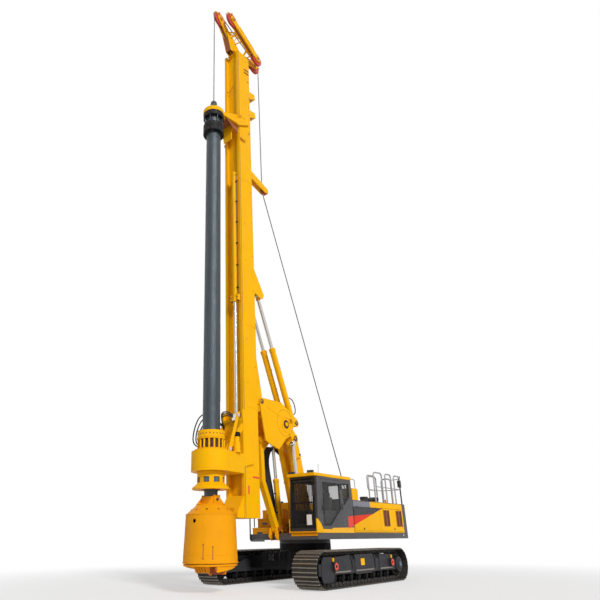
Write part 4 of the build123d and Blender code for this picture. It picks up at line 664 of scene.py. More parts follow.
def make_seams(lo, hi, face):
    """Dark seams between the sheets of the side housings and across their tops."""
    seams = Piece("house_seams", "house", bevel=0)
    for z in (hi.z - 0.012, lo.z + 0.012):
        for side, front_y in ((-1, low("right_housing").y), (1, lo.y)):
            seams.box((side * face, front_y, z - 0.006), (side * (face + 0.004), hi.y, z + 0.006), rubber)
    for y in (1.55, 2.75, 3.95):
        seams.box((-face - 0.004, y - 0.006, 1.55), (-face, y + 0.006, 2.44), rubber)
    for x0, x1 in ((-face, -0.70), (0.70, face)):
        for y in (2.14, 3.40):
            seams.box((x0 + 0.04, y - 0.006, hi.z), (x1 - 0.04, y + 0.006, hi.z + 0.003), rubber)
    seams.done(slot="charcoal_paint")


def make_right_vents(face):
    """Three banks of slats in the right housing."""
    vents = Piece("right_vents", "house", bevel=0.002)
    for y in (2.85, 3.30, 4.05):
        for z in (1.72 + i * 0.055 for i in range(9)):
            slat = [(-face - 0.012, z), (-face, z + 0.012), (-face, z + 0.042), (-face - 0.004, z + 0.030)]
            vents.front(slat, y, y + 0.36, red_brown_and_shade)
    vents.done(slot="charcoal_paint")


def make_side_door(door, latch_y, louvres, face):
    """The latch and hinge strips of a side door, and its louvred openings from each Y."""
    lo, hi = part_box(door)
    trim = Piece(door + "_trim", door, bevel=0.002)
    skin = face + 0.0005
    for y0, y1 in ((y, y + 0.44) for y in louvres):
        # Painted shade: a dark sheet behind the slats stands in for the shaded opening.
        trim.box((skin - 0.004, y0, DOOR_SILL), (skin + 0.001, y1, 2.24), painted_opening_shade)
        for z in (DOOR_SILL + 0.015 + i * 0.0405 for i in range(13)):
            slat = [(skin, z), (skin + 0.016, z + 0.006), (skin + 0.018, z + 0.010), (skin, z + 0.020)]
            trim.front(slat, y0 + 0.03, y1 - 0.03, red_brown_and_shade)
        for y, half in ((y0 + 0.008, 0.012), (y0 + 0.20, 0.030), (y1 - 0.008, 0.012)):
            trim.box((skin, y - half, 1.69), (skin + 0.020, y + half, 2.25), red_brown_and_shade)
    trim.lathe((skin, latch_y, 1.605), X, [(0, 0.036), (0.010, 0.036), (0.016, 0.026), (0.018, 0.012)], rubber)
    for y in (lo.y + 0.25, middle(door).y, hi.y - 0.25):
        trim.box((skin, y - 0.05, hi.z - 0.045), (skin + 0.006, y + 0.05, hi.z - 0.028), house_yellow)
    trim.done(slot="black_paint")


def make_fittings(face):
    """Lamps, beacon, exhaust outlet, caps and the service box's tube and lid on the hood."""
    parts = Piece("house_fittings", "house", bevel=0.003)
    parts.lathe((face, 4.56, 1.40), X, [(0, 0.032), (0.012, 0.030), (0.018, 0.015)], lens, 16)
    parts.lathe((1.38, 3.82, HOOD_TOP), Z,
                [(0, 0.055), (0.02, 0.055), (0.022, 0.045), (0.12, 0.040), (0.14, 0.02)], amber)
    tube = [(1.50, y, z) for y, z in ((1.05, 2.87), (1.05, 3.18), (1.36, 3.18), (1.36, 2.80), (1.36, HOOD_TOP))]
    parts.tube(rounded(tube, 0.07), 0.014, rail_grey)
    for x in (1.24, 1.52):
        parts.bolt((x, 0.97, 2.80), -Y, 0.008, steel)
    parts.box((1.20, 1.02, 2.868), (1.56, 1.33, 2.882), house_yellow)
    for y, r, rise in ((2.72, 0.15, 0.15), (3.10, 0.17, 0.19)):
        cowl = [(0, r * 0.8), (rise * 0.4, r * 0.8), (rise * 0.45, r), (rise * 0.9, r), (rise, r * 0.8)]
        parts.lathe((1.28, y, HOOD_TOP), Z, cowl, rubber, 28)
    parts.lathe((1.38, high("hood_fittings").y - 0.125, HOOD_TOP), Z,
                [(0, 0.135), (0.10, 0.135), (0.11, 0.145), (0.155, 0.145), (0.165, 0.12)], rubber, 28)
    for x in (-1.35, -0.90):
        for y in (0.35, 1.30, 2.30):
            parts.lathe((x, y, HOOD_TOP), Z, [(0, 0.05), (0.03, 0.05), (0.035, 0.035), (0.05, 0.03)], charcoal, 18)
    parts.done(slot="black_paint")


def make_steps():
    """Treads and edges of the stepped boxes."""
    lo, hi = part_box("front_steps")
    treads = Piece("step_treads", "house", bevel=0.002)
    for i, top in enumerate((1.675, 1.975, 2.260)):
        y0 = lo.y + i * 0.29
        for y in (y0 + 0.035 + k * 0.042 for k in range(6)):
            treads.box((lo.x + 0.03, y, top), (hi.x - 0.03, y + 0.014, top + 0.008), charcoal)
        treads.box((lo.x - 0.006, y0 - 0.006, top - 0.05), (hi.x, y0 + 0.002, top + 0.004), orange)
        treads.box((lo.x + 0.20, y0 - 0.010, top - 0.19), (lo.x + 0.42, y0 + 0.001, top - 0.13), charcoal)
    treads.done(slot="orange_paint")


def make_grab_tube():
    """The bent hand tube at the deck's front corner, with its lamp."""
    tube = Piece("front_grab_tube", "house", bevel=0)
    x, y = -1.56, -0.66
    bends = [(0, 0.25, 2.05), (0, 0, 2.05), (0, 0, 1.32), (0.05, 0, 1.265), (0.40, -0.02, 1.265), (0.62, -0.02, 1.265)]
    tube.tube(rounded([(x + dx, y + dy, z) for dx, dy, z in bends], 0.06), 0.022, black, 10)
    tube.tube([(x, y + 0.24, 2.05), (x, y + 0.24, 1.70)], 0.018, black)
    for z in (1.40, 1.30):
        tube.rod((x, y, z), (x, y + 0.06, z), 0.018, black)
    tube.lathe((x + 0.62, y + 0.035, 1.40), -Y, [(0, 0.045), (0.05, 0.055), (0.055, 0.045)], lens, 18)
    tube.done(slot="black_paint")


def make_deck_fittings():
    """Pipes to the boom's foot, valve blocks, tail cleats and the strip under the cab's front."""
    deck, cab_y = low("front_steps").z, low("cab_shell").y
    joins = Piece("deck_fittings", "house", bevel=0.003)
    for k in range(5):
        x, sag = -0.24 + k * 0.12, 0.04 * (k % 2)
        joins.tube(rounded([(x, 1.35, 1.50), (x, 1.05, 1.68 + sag), (x, 0.70, 1.56)], 0.2, 6), 0.022, rubber, 10)
    for x, y in ((-0.35, 1.5), (0.1, 1.7), (0.40, 1.45)):
        joins.box((x - 0.12, y - 0.14, deck), (x + 0.12, y + 0.14, deck + 0.22), engine_grey)
        joins.lathe((x, y, deck + 0.22), Z, [(0, 0.05), (0.06, 0.05), (0.07, 0.03)], steel, 14)
    for x in (-0.55, 0.0, 0.55):
        joins.box((x - 0.05, 4.0, deck), (x + 0.05, 4.6, deck + 0.09), charcoal)
    joins.box((0.62, cab_y - 0.012, 1.39), (1.58, cab_y + 0.001, 1.47), orange)
    joins.done(slot="charcoal_paint")


def make_tail():
    """Lifting eyes, lamps and the outline of a plain panel on the counterweight."""
    hi = high("counterweight")
    tail = Piece("tail_details", "house", bevel=0.005)
    skin = hi.y - 0.002
    for x in (-0.95, 0.95):
        tail.ring((x - 0.025, hi.y - 0.19, hi.z + 0.045), X, 0.07, 0.035, 0.05, charcoal, 24)
        tail.box((x - 0.025, hi.y - 0.26, hi.z - 0.005), (x + 0.025, hi.y - 0.12, hi.z + 0.02), charcoal)
    for x in (-1.25, 1.25):
        tail.box((x - 0.10, skin, 1.62), (x + 0.10, hi.y + 0.018, 1.70), red_paint)
    for x0, x1, z0, z1 in ((-0.75, 0.75, 1.55, 1.575), (-0.75, 0.75, 2.25, 2.275),
                           (-0.75, -0.735, 1.55, 2.275), (0.735, 0.75, 1.55, 2.275)):
        tail.box((x0, skin, z0), (x1, hi.y + 0.008, z1), rubber)
    tail.done(slot="charcoal_paint")


def make_rails():
    """Round-cornered guard hoops that replace the plain rails, with a camera arm at the rear corner."""
    lo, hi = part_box("handrails")
    x0, x1, rear, top = lo.x + 0.021, hi.x - 0.021, hi.y + 0.31, hi.z - 0.021
    inner, knee = x0 + 0.40, 3.05
    rails = Piece("guard_rails", "house", bevel=0)

    def hoop(a, b, rise):
        rails.tube(rounded([(*a, HOOD_TOP), (*a, rise), (*b, rise), (*b, HOOD_TOP)], 0.14, 6), 0.027, rail_grey, 10)

    hoop((x1, 2.80), (x1, 3.44), top)
    hoop((x1, 3.72), (x1, 4.20), top)
    hoop((x1, 4.46), (x1, rear), top - 0.01)
    step = [(x1, y, z) for y, z in ((2.80, top - 0.14), (2.28, top - 0.14), (2.28, 2.91), (2.80, 2.91))]
    rails.tube(rounded(step, 0.12, 5), 0.022, rail_grey, 10)
    hoop((x0, 3.86), (x0, 4.50), top)
    hoop((x0, rear), (inner, rear), top - 0.06)
    for a, b in (((x1, 2.80, knee), (x1, rear, knee)), ((x0, 3.86, knee), (x0, rear, knee)),
                 ((x1, rear, knee), (x0, rear, knee)), ((x1, rear, top - 0.10), (inner, rear, top - 0.12))):
        rails.rod(a, b, 0.015, rail_grey)
    for x, ys in ((x1, (2.80, 3.44, 3.72, 4.20, 4.46)), (x0, (3.86, 4.50, rear)), (inner, (rear,))):
        for y in ys:
            rails.lathe((x, y, HOOD_TOP), Z, [(0, 0.045), (0.012, 0.045), (0.014, 0.03), (0.03, 0.028)], rail_grey, 14)
    rails.done("handrails", slot="rail_steel")
    arm = Piece("camera_arm", "house", bevel=0.003)
    arm.rod((x1, rear - 0.01, HOOD_TOP), (x1, rear - 0.01, top - 0.05), 0.026, rubber)
    arm.box((x1 - 0.05, rear - 0.11, top - 0.42), (x1 + 0.05, rear + 0.03, top - 0.16), rubber)
    arm.rod((x1, rear - 0.02, top - 0.20), (x1 + 0.02, rear + 0.05, top + 0.01), 0.014, rubber)
    arm.done(slot="black_paint")


def make_house():
    """Everything that rides on the house behind and beside the cab."""
    lo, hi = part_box("left_housing")
    face = high("counterweight").x
    make_seams(lo, hi, face)
    make_right_vents(face)
    make_side_door("side_door_front", 1.57, (), face)
    make_side_door("side_door_rear", 3.88, (3.09, 4.11), face)
    make_fittings(face)
    make_steps()
    make_grab_tube()
    make_deck_fittings()
    make_tail()
    make_rails()


make_house()


# ---- cab ------------------------------------------------------------------------------------
GUARD_BARS, GUARD_CLIPS = 15, 9
GUARD_LOW, GUARD_MIDDLE, GUARD_TOP = 1.68, 2.06, 2.96         # heights of the guard's crossbars
CAB_SILL = 1.478
DOOR_FACE = 1.602                                             # X of the cab door's outer face
HANDLE_LOW, HANDLE_TOP = 2.05, 2.42


def make_guard(lo, hi):
    """Bars, crossbars, side tubes and clips of the raked guard before the front window, with a pale label plate."""
    rake = (hi.y - lo.y - 0.03) / (hi.z - lo.z)

    def front_y(z):
        return lo.y + 0.012 + (z - lo.z) * rake

    def upright(x, z0, z1, radius, sides):
        bars.rod((x, front_y(z0), z0), (x, front_y(z1), z1), radius, black, sides)

    bars = Piece("guard_bars", "house", bevel=0)
    x0, x1 = lo.x + 0.04, hi.x - 0.04
    for i in range(GUARD_BARS):
        upright(x0 + (x1 - x0) * (i + 0.5) / GUARD_BARS, GUARD_LOW - 0.02, GUARD_TOP + 0.02, 0.0075, 8)
    for z in (GUARD_LOW, GUARD_MIDDLE, GUARD_TOP):
        bars.box((x0 - 0.03, front_y(z) - 0.008, z - 0.016), (x1 + 0.03, front_y(z) + 0.012, z + 0.016), black)
    for x in (x0 - 0.012, x1 + 0.012):
        upright(x, GUARD_LOW - 0.08, GUARD_TOP + 0.07, 0.026, 10)
    y = front_y(GUARD_TOP + 0.01)
    for i in range(GUARD_CLIPS):
        x = x0 + 0.03 + (x1 - x0 - 0.06) * i / (GUARD_CLIPS - 1)
        bars.box((x - 0.020, y - 0.010, GUARD_TOP + 0.005), (x + 0.020, y + 0.010, GUARD_TOP + 0.06), charcoal)
    y = front_y(1.80)
    bars.box((x1 - 0.24, y - 0.016, 1.69), (x1 - 0.06, y - 0.008, 1.99), lens)
    bars.done(slot="black_paint")


def make_corner_plates(lo, hi):
    """The yellow skirt plates at the cab's front corners and the strip between them."""
    plates = Piece("cab_corner_plates", "house", bevel=0.006)
    skirt = [(lo.y + y, z) for y, z in ((-0.045, CAB_SILL), (0.30, CAB_SILL), (0.28, 1.60), (0.18, 1.74), (0.04, 1.86),
                                        (-0.045, 1.88))]
    for x, reach in ((lo.x + 0.01, -0.018), (high("cab_door").x - 0.07, 0.042)):
        plates.plate(skirt, x, x + reach, yellow)
    plates.box((lo.x + 0.02, lo.y - 0.05, CAB_SILL), (hi.x - 0.05, lo.y - 0.01, 1.52), orange)
    plates.done(slot="yellow_paint")


def make_roof():
    """Lamps, aerial, ribs and hatch on the cab's roof."""
    lo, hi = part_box("cab_roof")
    top = hi.z
    roof = Piece("cab_roof_details", "house")
    for x in (lo.x + 0.16, hi.x - 0.16):
        roof.box((x - 0.10, lo.y + 0.005, top - 0.006), (x + 0.10, lo.y + 0.10, top + 0.075), rubber)
        roof.box((x - 0.075, lo.y - 0.002, top + 0.014), (x + 0.075, lo.y + 0.007, top + 0.052), screen_grey)
    foot = (hi.x - 0.12, lo.y + 0.45, top)
    roof.rod(foot, (foot[0], lo.y + 0.47, top + 0.30), 0.006, rubber, 6)
    roof.lathe(foot, Z, [(0, 0.02), (0.03, 0.012)], rubber, 12)
    for x in (lo.x + 0.30, hi.x - 0.30):
        roof.box((x - 0.012, lo.y + 0.35, top), (x + 0.012, hi.y - 0.10, top + 0.018), yellow)
    roof.box((lo.x + 0.36, -0.35, top), (hi.x - 0.36, 0.20, top + 0.03), charcoal)
    roof.done(slot="black_paint")


def make_mirror(lo, hi):
    """The mirror on its bent arm at the cab's outer front corner."""
    mirror = Piece("cab_mirrors", "house", bevel=0.006)
    x = hi.x
    arm = [(x - 0.03, lo.y + 0.04, 2.95), (x - 0.01, lo.y - 0.10, 2.93), (x, lo.y - 0.13, 2.80)]
    mirror.tube(rounded(arm, 0.06, 4), 0.010, black)
    mirror.box((x - 0.075, lo.y - 0.155, 2.52), (x + 0.075, lo.y - 0.115, 2.84), rubber)
    mirror.box((x - 0.062, lo.y - 0.1155, 2.535), (x + 0.062, lo.y - 0.112, 2.825), chrome)
    mirror.done(slot="black_paint")


def make_door_handle():
    """The grip and the latch on the cab door."""
    x, y = DOOR_FACE, low("cab_door").y + 0.12
    door = Piece("cab_door_details", "cab_door", bevel=0.003)
    grip = [(x + out, y, z) for out, z in ((-0.02, HANDLE_LOW), (0.035, HANDLE_LOW), (0.035, HANDLE_TOP),
                                           (-0.02, HANDLE_TOP))]
    door.tube(rounded(grip, 0.03, 3), 0.011, rubber)
    door.box((x - 0.005, y - 0.065, 2.12), (x + 0.020, y - 0.02, 2.24), rubber)
    door.done(slot="black_paint")


def make_console(lo, hi, x, floor):
    """Floor mat, seat base, armrests with levers, pedals and the screen on its post."""
    base = Piece("cab_console", "house", bevel=0.006)
    base.box(lo, (hi.x, hi.y, floor + 0.035), rubber)
    base.box((x - 0.20, -0.42, floor + 0.03), (x + 0.20, 0.10, floor + 0.28), charcoal)
    for side in SIDES:
        arm_x, pedal_x = x + side * 0.30, x + side * 0.10
        base.box((arm_x - 0.055, -0.62, floor + 0.20), (arm_x + 0.055, 0.12, floor + 0.60), charcoal)
        base.box((arm_x - 0.045, -0.60, floor + 0.598), (arm_x + 0.045, -0.15, floor + 0.625), rubber)
        base.tube([(arm_x, -0.52, floor + 0.62), (arm_x, -0.55, floor + 0.74)], 0.011, black)
        knob = [(0, 0.018), (0.05, 0.026), (0.11, 0.022), (0.13, 0.008)]
        base.lathe((arm_x, -0.55, floor + 0.73), Z, knob, rubber, 14)
        lever = [(pedal_x, -0.98, floor + 0.03), (pedal_x, -0.95, floor + 0.30), (pedal_x, -0.90, floor + 0.52)]
        base.tube(rounded(lever, 0.1, 4), 0.010, black)
        base.lathe((pedal_x, -0.90, floor + 0.51), Z, [(0, 0.014), (0.03, 0.020), (0.07, 0.010)], rubber, 12)
        base.box((pedal_x - 0.05, -0.99, floor + 0.03), (pedal_x + 0.05, -0.80, floor + 0.055), steel)
    x = hi.x - 0.10
    base.box((x - 0.07, -1.00, floor + 0.62), (x + 0.07, -0.96, floor + 0.88), rubber)
    base.box((x - 0.055, -0.962, floor + 0.64), (x + 0.055, -0.957, floor + 0.86), screen_grey)
    base.tube([(x, -0.975, floor + 0.03), (x, -0.975, floor + 0.64)], 0.014, black)
    base.done(slot="black_paint")


def make_cushion(name, lo, hi, lean=0.0):
    """A stuffed box with round edges and a dented top."""
    lo, hi = Vector(lo), Vector(hi)
    size, mid = (hi - lo) / 2, (lo + hi) / 2
    tip = Matrix.Rotation(lean, 3, "X")
    loops = []
    for level in (k / 4 for k in range(-4, 5)):
        bulge = 0.86 + 0.14 * ((1 - abs(level) ** 4) ** 0.25 if abs(level) < 1 else 0.55)
        loop = []
        for t in turns(24):
            x, y = (math.copysign(abs(c) ** 0.35, c) * half * bulge
                    for c, half in ((math.cos(t), size.x), (math.sin(t), size.y)))
            dent = 0.012 * math.cos(math.pi * x / (2 * size.x)) ** 2 if level > 0.5 else 0
            loop.append(tip @ Vector((x, y, level * size.z - dent)) + mid)
        loops.append(loop)
    pad = Piece(name, "house", bevel=0)
    pad.rings(loops, fabric)
    made = pad.done(slot="seat_fabric")
    return made


def make_cab():
    """The cab's outside fittings, its controls and the driver's seat."""
    lo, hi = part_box("cab_shell")
    make_guard(*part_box("cab_guard"))
    make_corner_plates(lo, hi)
    make_roof()
    make_mirror(lo, hi)
    make_door_handle()
    lo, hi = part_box("cab_interior")
    x, floor = (lo.x + hi.x) / 2, lo.z
    make_console(lo, hi, x, floor)
    make_cushion("seat_cushion", (x - 0.235, -0.47, floor + 0.29), (x + 0.235, 0.04, floor + 0.43))
    make_cushion("seat_back", (x - 0.225, -0.02, floor + 0.40), (x + 0.225, 0.11, floor + 1.02), -0.12)
    head = make_cushion("seat_headrest", (x - 0.13, 0.06, floor + 1.03), (x + 0.13, 0.15, floor + 1.17), -0.12)
    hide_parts("cab_interior")


make_cab()


# ---- boom, link and cylinders ---------------------------------------------------------------
LIFT_X, MAST_CYLINDER_X = 0.43, 0.195          # half the spacing of each pair of cylinders


def both_sides(x, at):
    """Places at minus and plus X beside a point, each with its side."""
    return [(Vector((side * x, at.y, at.z)), side) for side in SIDES]


def pin_caps(name, body, places, radius, slot="yellow_paint"):
    """Round end plates with a keeper bar and a bolt on pin ends: (centre, side) pairs."""
    caps = Piece(name, body, bevel=0.003)
    for at, side in places:
        out = X * side
        cap = [(0, radius), (0.012, radius), (0.020, radius * 0.86), (0.022, radius * 0.3)]
        caps.lathe(at, out, cap, steel, 28)
        caps.box(at + out * 0.020 - Y * radius * 1.5 - Z * radius * 0.26,
                 at + out * 0.034 - Y * radius * 0.4 + Z * radius * 0.26, yellow)
        caps.bolt(at + out * 0.034 - Y * radius * 1.2, out, 0.012, steel)
    caps.done(slot=slot)


def make_boom_ribs(foot, head):
    """Welded ribs, pipes and their clamps along both legs."""
    up = (head - foot).normalized()
    off = up.cross(X).normalized()
    face = high("boom").x
    ribs = Piece("boom_ribs", "boom")
    for side in SIDES:
        for at in (foot.lerp(head, share) for share in (0.22, 0.50, 0.78)):
            ribs.block(at, (off, -0.13, 0.13), (up, -0.02, 0.02), (X * side, face - 0.002, face + 0.012), yellow)
        for reach in (0.16, 0.20):
            lane = X * side * (face - 0.10) + off * reach
            ribs.rod(foot.lerp(head, 0.12) + lane, foot.lerp(head, 0.90) + lane, 0.018, yellow, 10)
    for at in (foot.lerp(head, share) + off * 0.18 for share in (0.30, 0.55, 0.80)):
        for clamp, _ in both_sides(face - 0.10, at):
            half = Vector((0.05, 0.03, 0.03))
            ribs.box(clamp - half, clamp + half, black)
    ribs.done(slot="yellow_paint")


def make_front_feet(link_foot):
    """Lug plates, valve blocks and pipe ends round the feet of the front link and the lift cylinders."""
    feet = Piece("front_feet", "house")
    link_lug = [(-1.02, 1.30), (-1.38, 1.27), (-1.50, 1.40), (-1.44, 1.62), (-1.30, 1.70), (-1.05, 1.56)]
    lift_lug = [(-0.98, 1.30), (-1.16, 1.29), (-1.20, 1.47), (-0.98, 1.52)]
    for side in SIDES:
        feet.plate(link_lug, side * 0.105, side * 0.135, orange)
        feet.plate(lift_lug, side * 0.36, side * 0.39, orange)
        boss = [(0, 0.075), (0.02, 0.075), (0.03, 0.04)]
        feet.lathe((side * 0.135, link_foot.y, link_foot.z), X * side, boss, red_brown_and_shade)
    feet.box((-0.14, -1.30, 1.285), (0.14, -0.98, 1.31), orange)
    feet.box((0.20, -1.14, 1.33), (0.34, -0.97, 1.46), red_brown_and_shade)
    feet.box((-0.34, -1.10, 1.32), (-0.20, -0.97, 1.44), red_brown_and_shade)
    for k, (x, z) in enumerate(((0.18, 1.53), (0.25, 1.60), (-0.18, 1.55), (-0.25, 1.60))):
        y = -1.00 - 0.02 * k
        feet.box((x - 0.03, y, z - 0.05), (x + 0.03, -0.86, z + 0.06), red_brown_and_shade if k % 2 else orange)
        feet.rod((x, y - 0.04, z), (x, -0.90, z), 0.018, steel, 10)
    feet.done(slot="orange_paint")


def make_lift_glands():
    """The collars at the barrels' mouths, the pipe along each barrel and its clamps."""
    way, gland = stroke_of("lift_cylinder_stroke"), 1.56
    glands = Piece("lift_cylinder_glands", "lift_barrels", bevel=0.003)
    for base, _ in both_sides(LIFT_X, pin_at("lift_cylinder_swing")):
        collar = [(0, 0.101), (0.03, 0.104), (0.10, 0.104), (0.115, 0.085), (0.135, 0.066)]
        glands.lathe(base + way * (gland - 0.10), way, collar, yellow, 28)
        pipe = ((0.25, 0.10), (0.40, 0.125), (gland - 0.15, 0.125), (gland - 0.05, 0.10))
        glands.tube(rounded([base + way * along - Y * off for along, off in pipe], 0.05), 0.014, steel)
        for at in (base + way * along for along in (0.5, 1.1)):
            glands.box(at + Vector((-0.03, -0.145, -0.02)), at + Vector((0.03, -0.085, 0.02)), black)
    glands.done(slot="yellow_paint")


def make_boom():
    """The boom, the link beside it and the lift cylinders."""
    foot, head, link_foot = pin_at("boom_lift"), pin_at("carrier_level"), pin_at("front_link_swing")
    make_boom_ribs(foot, head)
    pin_caps("boom_pin_caps", "house", both_sides(0.567, foot), 0.085, slot="orange_paint")
    pin_caps("boom_head_caps", "boom", both_sides(high("boom").x, head), 0.095)
    caps = Piece("link_pin_caps", "front_link", bevel=0.003)
    for pin in (link_foot, link_foot + (head - foot)):
        for at, side in both_sides(high("front_link").x - 0.004, pin):
            caps.lathe(at, X * side, [(0, 0.070), (0.010, 0.066), (0.012, 0.03)], yellow, 24)
    caps.done(slot="yellow_paint")
    make_front_feet(link_foot)
    make_lift_glands()


def make_carrier_trims(face):
    """Round cut-outs, ribs and pin ends on the carrier plates."""
    lo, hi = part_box("mast_carrier")
    mid = Vector((hi.x, (lo.y + hi.y) / 2 + 0.12, 4.95))
    trims = Piece("carrier_trims", "carrier")
    ribs = (((lo.y + 0.35, 5.40), (mid.y, 5.15)), ((mid.y + 0.45, 4.62), (mid.y + 0.10, 4.45)))
    for side in SIDES:
        x, out = side * (face - 0.001), X * side
        eye = (x, mid.y + 0.22, mid.z - 0.02)
        trims.ring(eye, out, 0.27, 0.235, 0.014, yellow, 36)
        # Painted shade: a dark disc in each cut-out for the shaded hole.
        trims.lathe(eye, out, [(0, 0.150), (0.006, 0.148), (0.007, 0.05)], painted_opening_shade, 28)
        trims.lathe(eye, out, [(0, 0.070), (0.030, 0.070), (0.034, 0.03)], yellow, 24)
        trims.ring((x, mid.y + 0.16, mid.z + 0.02), out, 0.455, 0.445, 0.004, red_brown_and_shade, 48)
        trims.bolts(eye, out, 0.19, 8, 0.010, yellow)
        for (ay, az), (by, bz) in ribs:
            rib = [(ay, az), (by, bz), (by + 0.02, bz - 0.04), (ay + 0.02, az - 0.04)]
            trims.plate(rib, x, x + side * 0.010, yellow)
    trims.done(slot="yellow_paint")


def make_mast_cylinders(foot):
    """Collars, pipes and clamps on the mast cylinders' barrels, and the rods' heads."""
    way = stroke_of("mast_cylinder_stroke")
    back = way.cross(X).normalized()
    length = (high("mast_cylinder_rods").z - 0.115 - foot.z) / way.z
    glands = Piece("mast_cylinder_glands", "mast_barrels", bevel=0.003)
    heads = Piece("mast_rod_heads", "mast_rods", bevel=0.003)
    for base, _ in both_sides(MAST_CYLINDER_X, foot):
        collar = [(0, 0.111), (0.03, 0.116), (0.12, 0.116), (0.135, 0.09), (0.155, 0.074)]
        glands.lathe(base + way * 2.62, way, collar, yellow, 28)
        pipe = ((0.20, 0.10), (0.30, 0.14), (2.50, 0.14), (2.60, 0.11))
        glands.tube(rounded([base + way * along + back * off for along, off in pipe], 0.05), 0.014, yellow)
        for along in (0.6, 1.3, 2.0):
            glands.block(base + way * along, (way, -0.03, 0.03), (X, -0.03, 0.03), (back, 0.10, 0.16), black)
        heads.lathe(base + way * (length - 0.22), way,
                    [(0, 0.066), (0.01, 0.085), (0.08, 0.085), (0.10, 0.066)], yellow, 24)
    glands.done(slot="yellow_paint")
    heads.done(slot="yellow_paint")


def make_carrier():
    """The carrier and the mast cylinders that stand on it."""
    face, foot = high("mast_carrier").x, pin_at("mast_cylinder_swing")
    make_carrier_trims(face)
    pin_caps("tilt_pin_caps", "carrier", both_sides(face, pin_at("mast_tilt")), 0.085)
    pin_caps("mast_cylinder_foot_caps", "carrier", both_sides(face, foot), 0.085)
    make_mast_cylinders(foot)


make_boom()
make_carrier()


# ---- mast -----------------------------------------------------------------------------------
MAST_REAR = -2.51                               # the plane of the mast's back
MAST_FRONT = low("mast").y + 0.33               # the front rails' face: the foot stands out before it


def make_mast_trims(lo, hi, front, rear):
    """Weld beads, rail strips and bolts on the mast's sides, and its red service marks."""
    half = hi.x
    trim = Piece("mast_trims", "mast", bevel=0.003)
    for side in SIDES:
        x = side * half
        for z in (3.2, 5.2, 8.0, 11.0, 14.0, 17.0):
            trim.box((x, front + 0.14, z - 0.008), (x + side * 0.006, rear, z + 0.008), yellow)
        trim.box((x, front + 0.005, lo.z + 0.02), (x + side * 0.005, front + 0.022, hi.z - 0.02), steel)
        # Painted shade: a darker orange strip on each rail's front face, with wear streaks.
        trim.box((x - side * 0.105, front - 0.006, lo.z + 0.65), (x - side * 0.005, front + 0.001, hi.z - 0.02),
                 rail_steel)
    rows = ((rear - 0.06, 16.5, 0.9, 4, 0.012), (rear - 0.07, 6.6, 1.4, 9, 0.010), (front + 0.22, 3.0, 1.5, 7, 0.009))
    for y, z, apart, count, radius in rows:
        for i in range(count):
            trim.bolt((half, y, z + i * apart), X, radius, black)
    tab = [(rear - 0.40, 20.15), (rear - 0.10, 20.30), (rear - 0.36, 20.36), (rear - 0.42, 20.34)]
    trim.plate(tab, half, half + 0.006, yellow)
    trim.box((-half + 0.02, rear - 0.001, hi.z - 0.035), (half - 0.02, rear + 0.035, hi.z - 0.002), yellow)
    trim.done(slot="yellow_paint")
    marks = Piece("mast_marks", "mast", bevel=0)
    marks.box((half, rear - 0.33, 3.03), (half + 0.004, rear - 0.01, 3.08), red_paint)
    marks.box((half, front + 0.14, 2.56), (half + 0.004, front + 0.20, 2.80), red_paint)
    marks.done(slot="sheave_red")


def make_mast_brackets(front, rear):
    """Box brackets on the back of the mast, bars and welds near its top, and cross plates."""
    box = Piece("mast_brackets", "mast", bevel=0.004)

    def behind(outline, z, x0, x1, material):
        """A plate from (distance behind the mast, height above z) corners."""
        box.plate([(rear + back, z + rise) for back, rise in outline], x0, x1, material)

    for z in (17.35, 18.35):
        for x in (0.02, 0.33):
            behind(((-0.001, 0), (0.40, 0.22), (0.34, 0.46), (-0.001, 0.40)), z, x, x + 0.03, yellow)
        behind(((0.30, 0.18), (0.40, 0.23), (0.34, 0.46), (0.24, 0.44)), z, 0.04, 0.34, yellow)
        # Painted shade: a red-brown plate along the bracket's underside.
        behind(((-0.001, 0.02), (0.36, 0.215), (0.355, 0.235), (-0.001, 0.05)), z, 0.04, 0.34, red_brown_and_shade)
    for z in (19.55, 19.72):
        behind(((-0.34, 0), (-0.04, 0.05), (-0.04, 0.10), (-0.34, 0.05)), z, 0.363, 0.385, red_brown_and_shade)
    weld = [(x, front - 0.001, z) for x, z in ((-0.30, 18.62), (-0.12, 18.50), (0.10, 18.72))]
    for a, b in zip(weld, weld[1:]):
        box.rod(a, b, 0.012, red_brown_and_shade, 6)
    for z in (16.35, 19.15):
        box.box((-0.12, rear - 0.001, z), (0.12, rear + 0.10, z + 0.10), yellow)
        box.box((0.364, rear - 0.16, z), (0.370, rear - 0.08, z + 0.05), red_brown_and_shade)
    for z in (2.05, 2.35):
        box.box((-0.30, rear, z), (0.30, rear + 0.02, z + 0.12), yellow)
    for x in (-0.33, 0.33):
        behind(((-0.001, 0), (0.16, 0.06), (0.16, 0.24), (-0.001, 0.42)), 6.1, x - 0.01, x + 0.01, yellow)
    box.done(slot="yellow_paint")


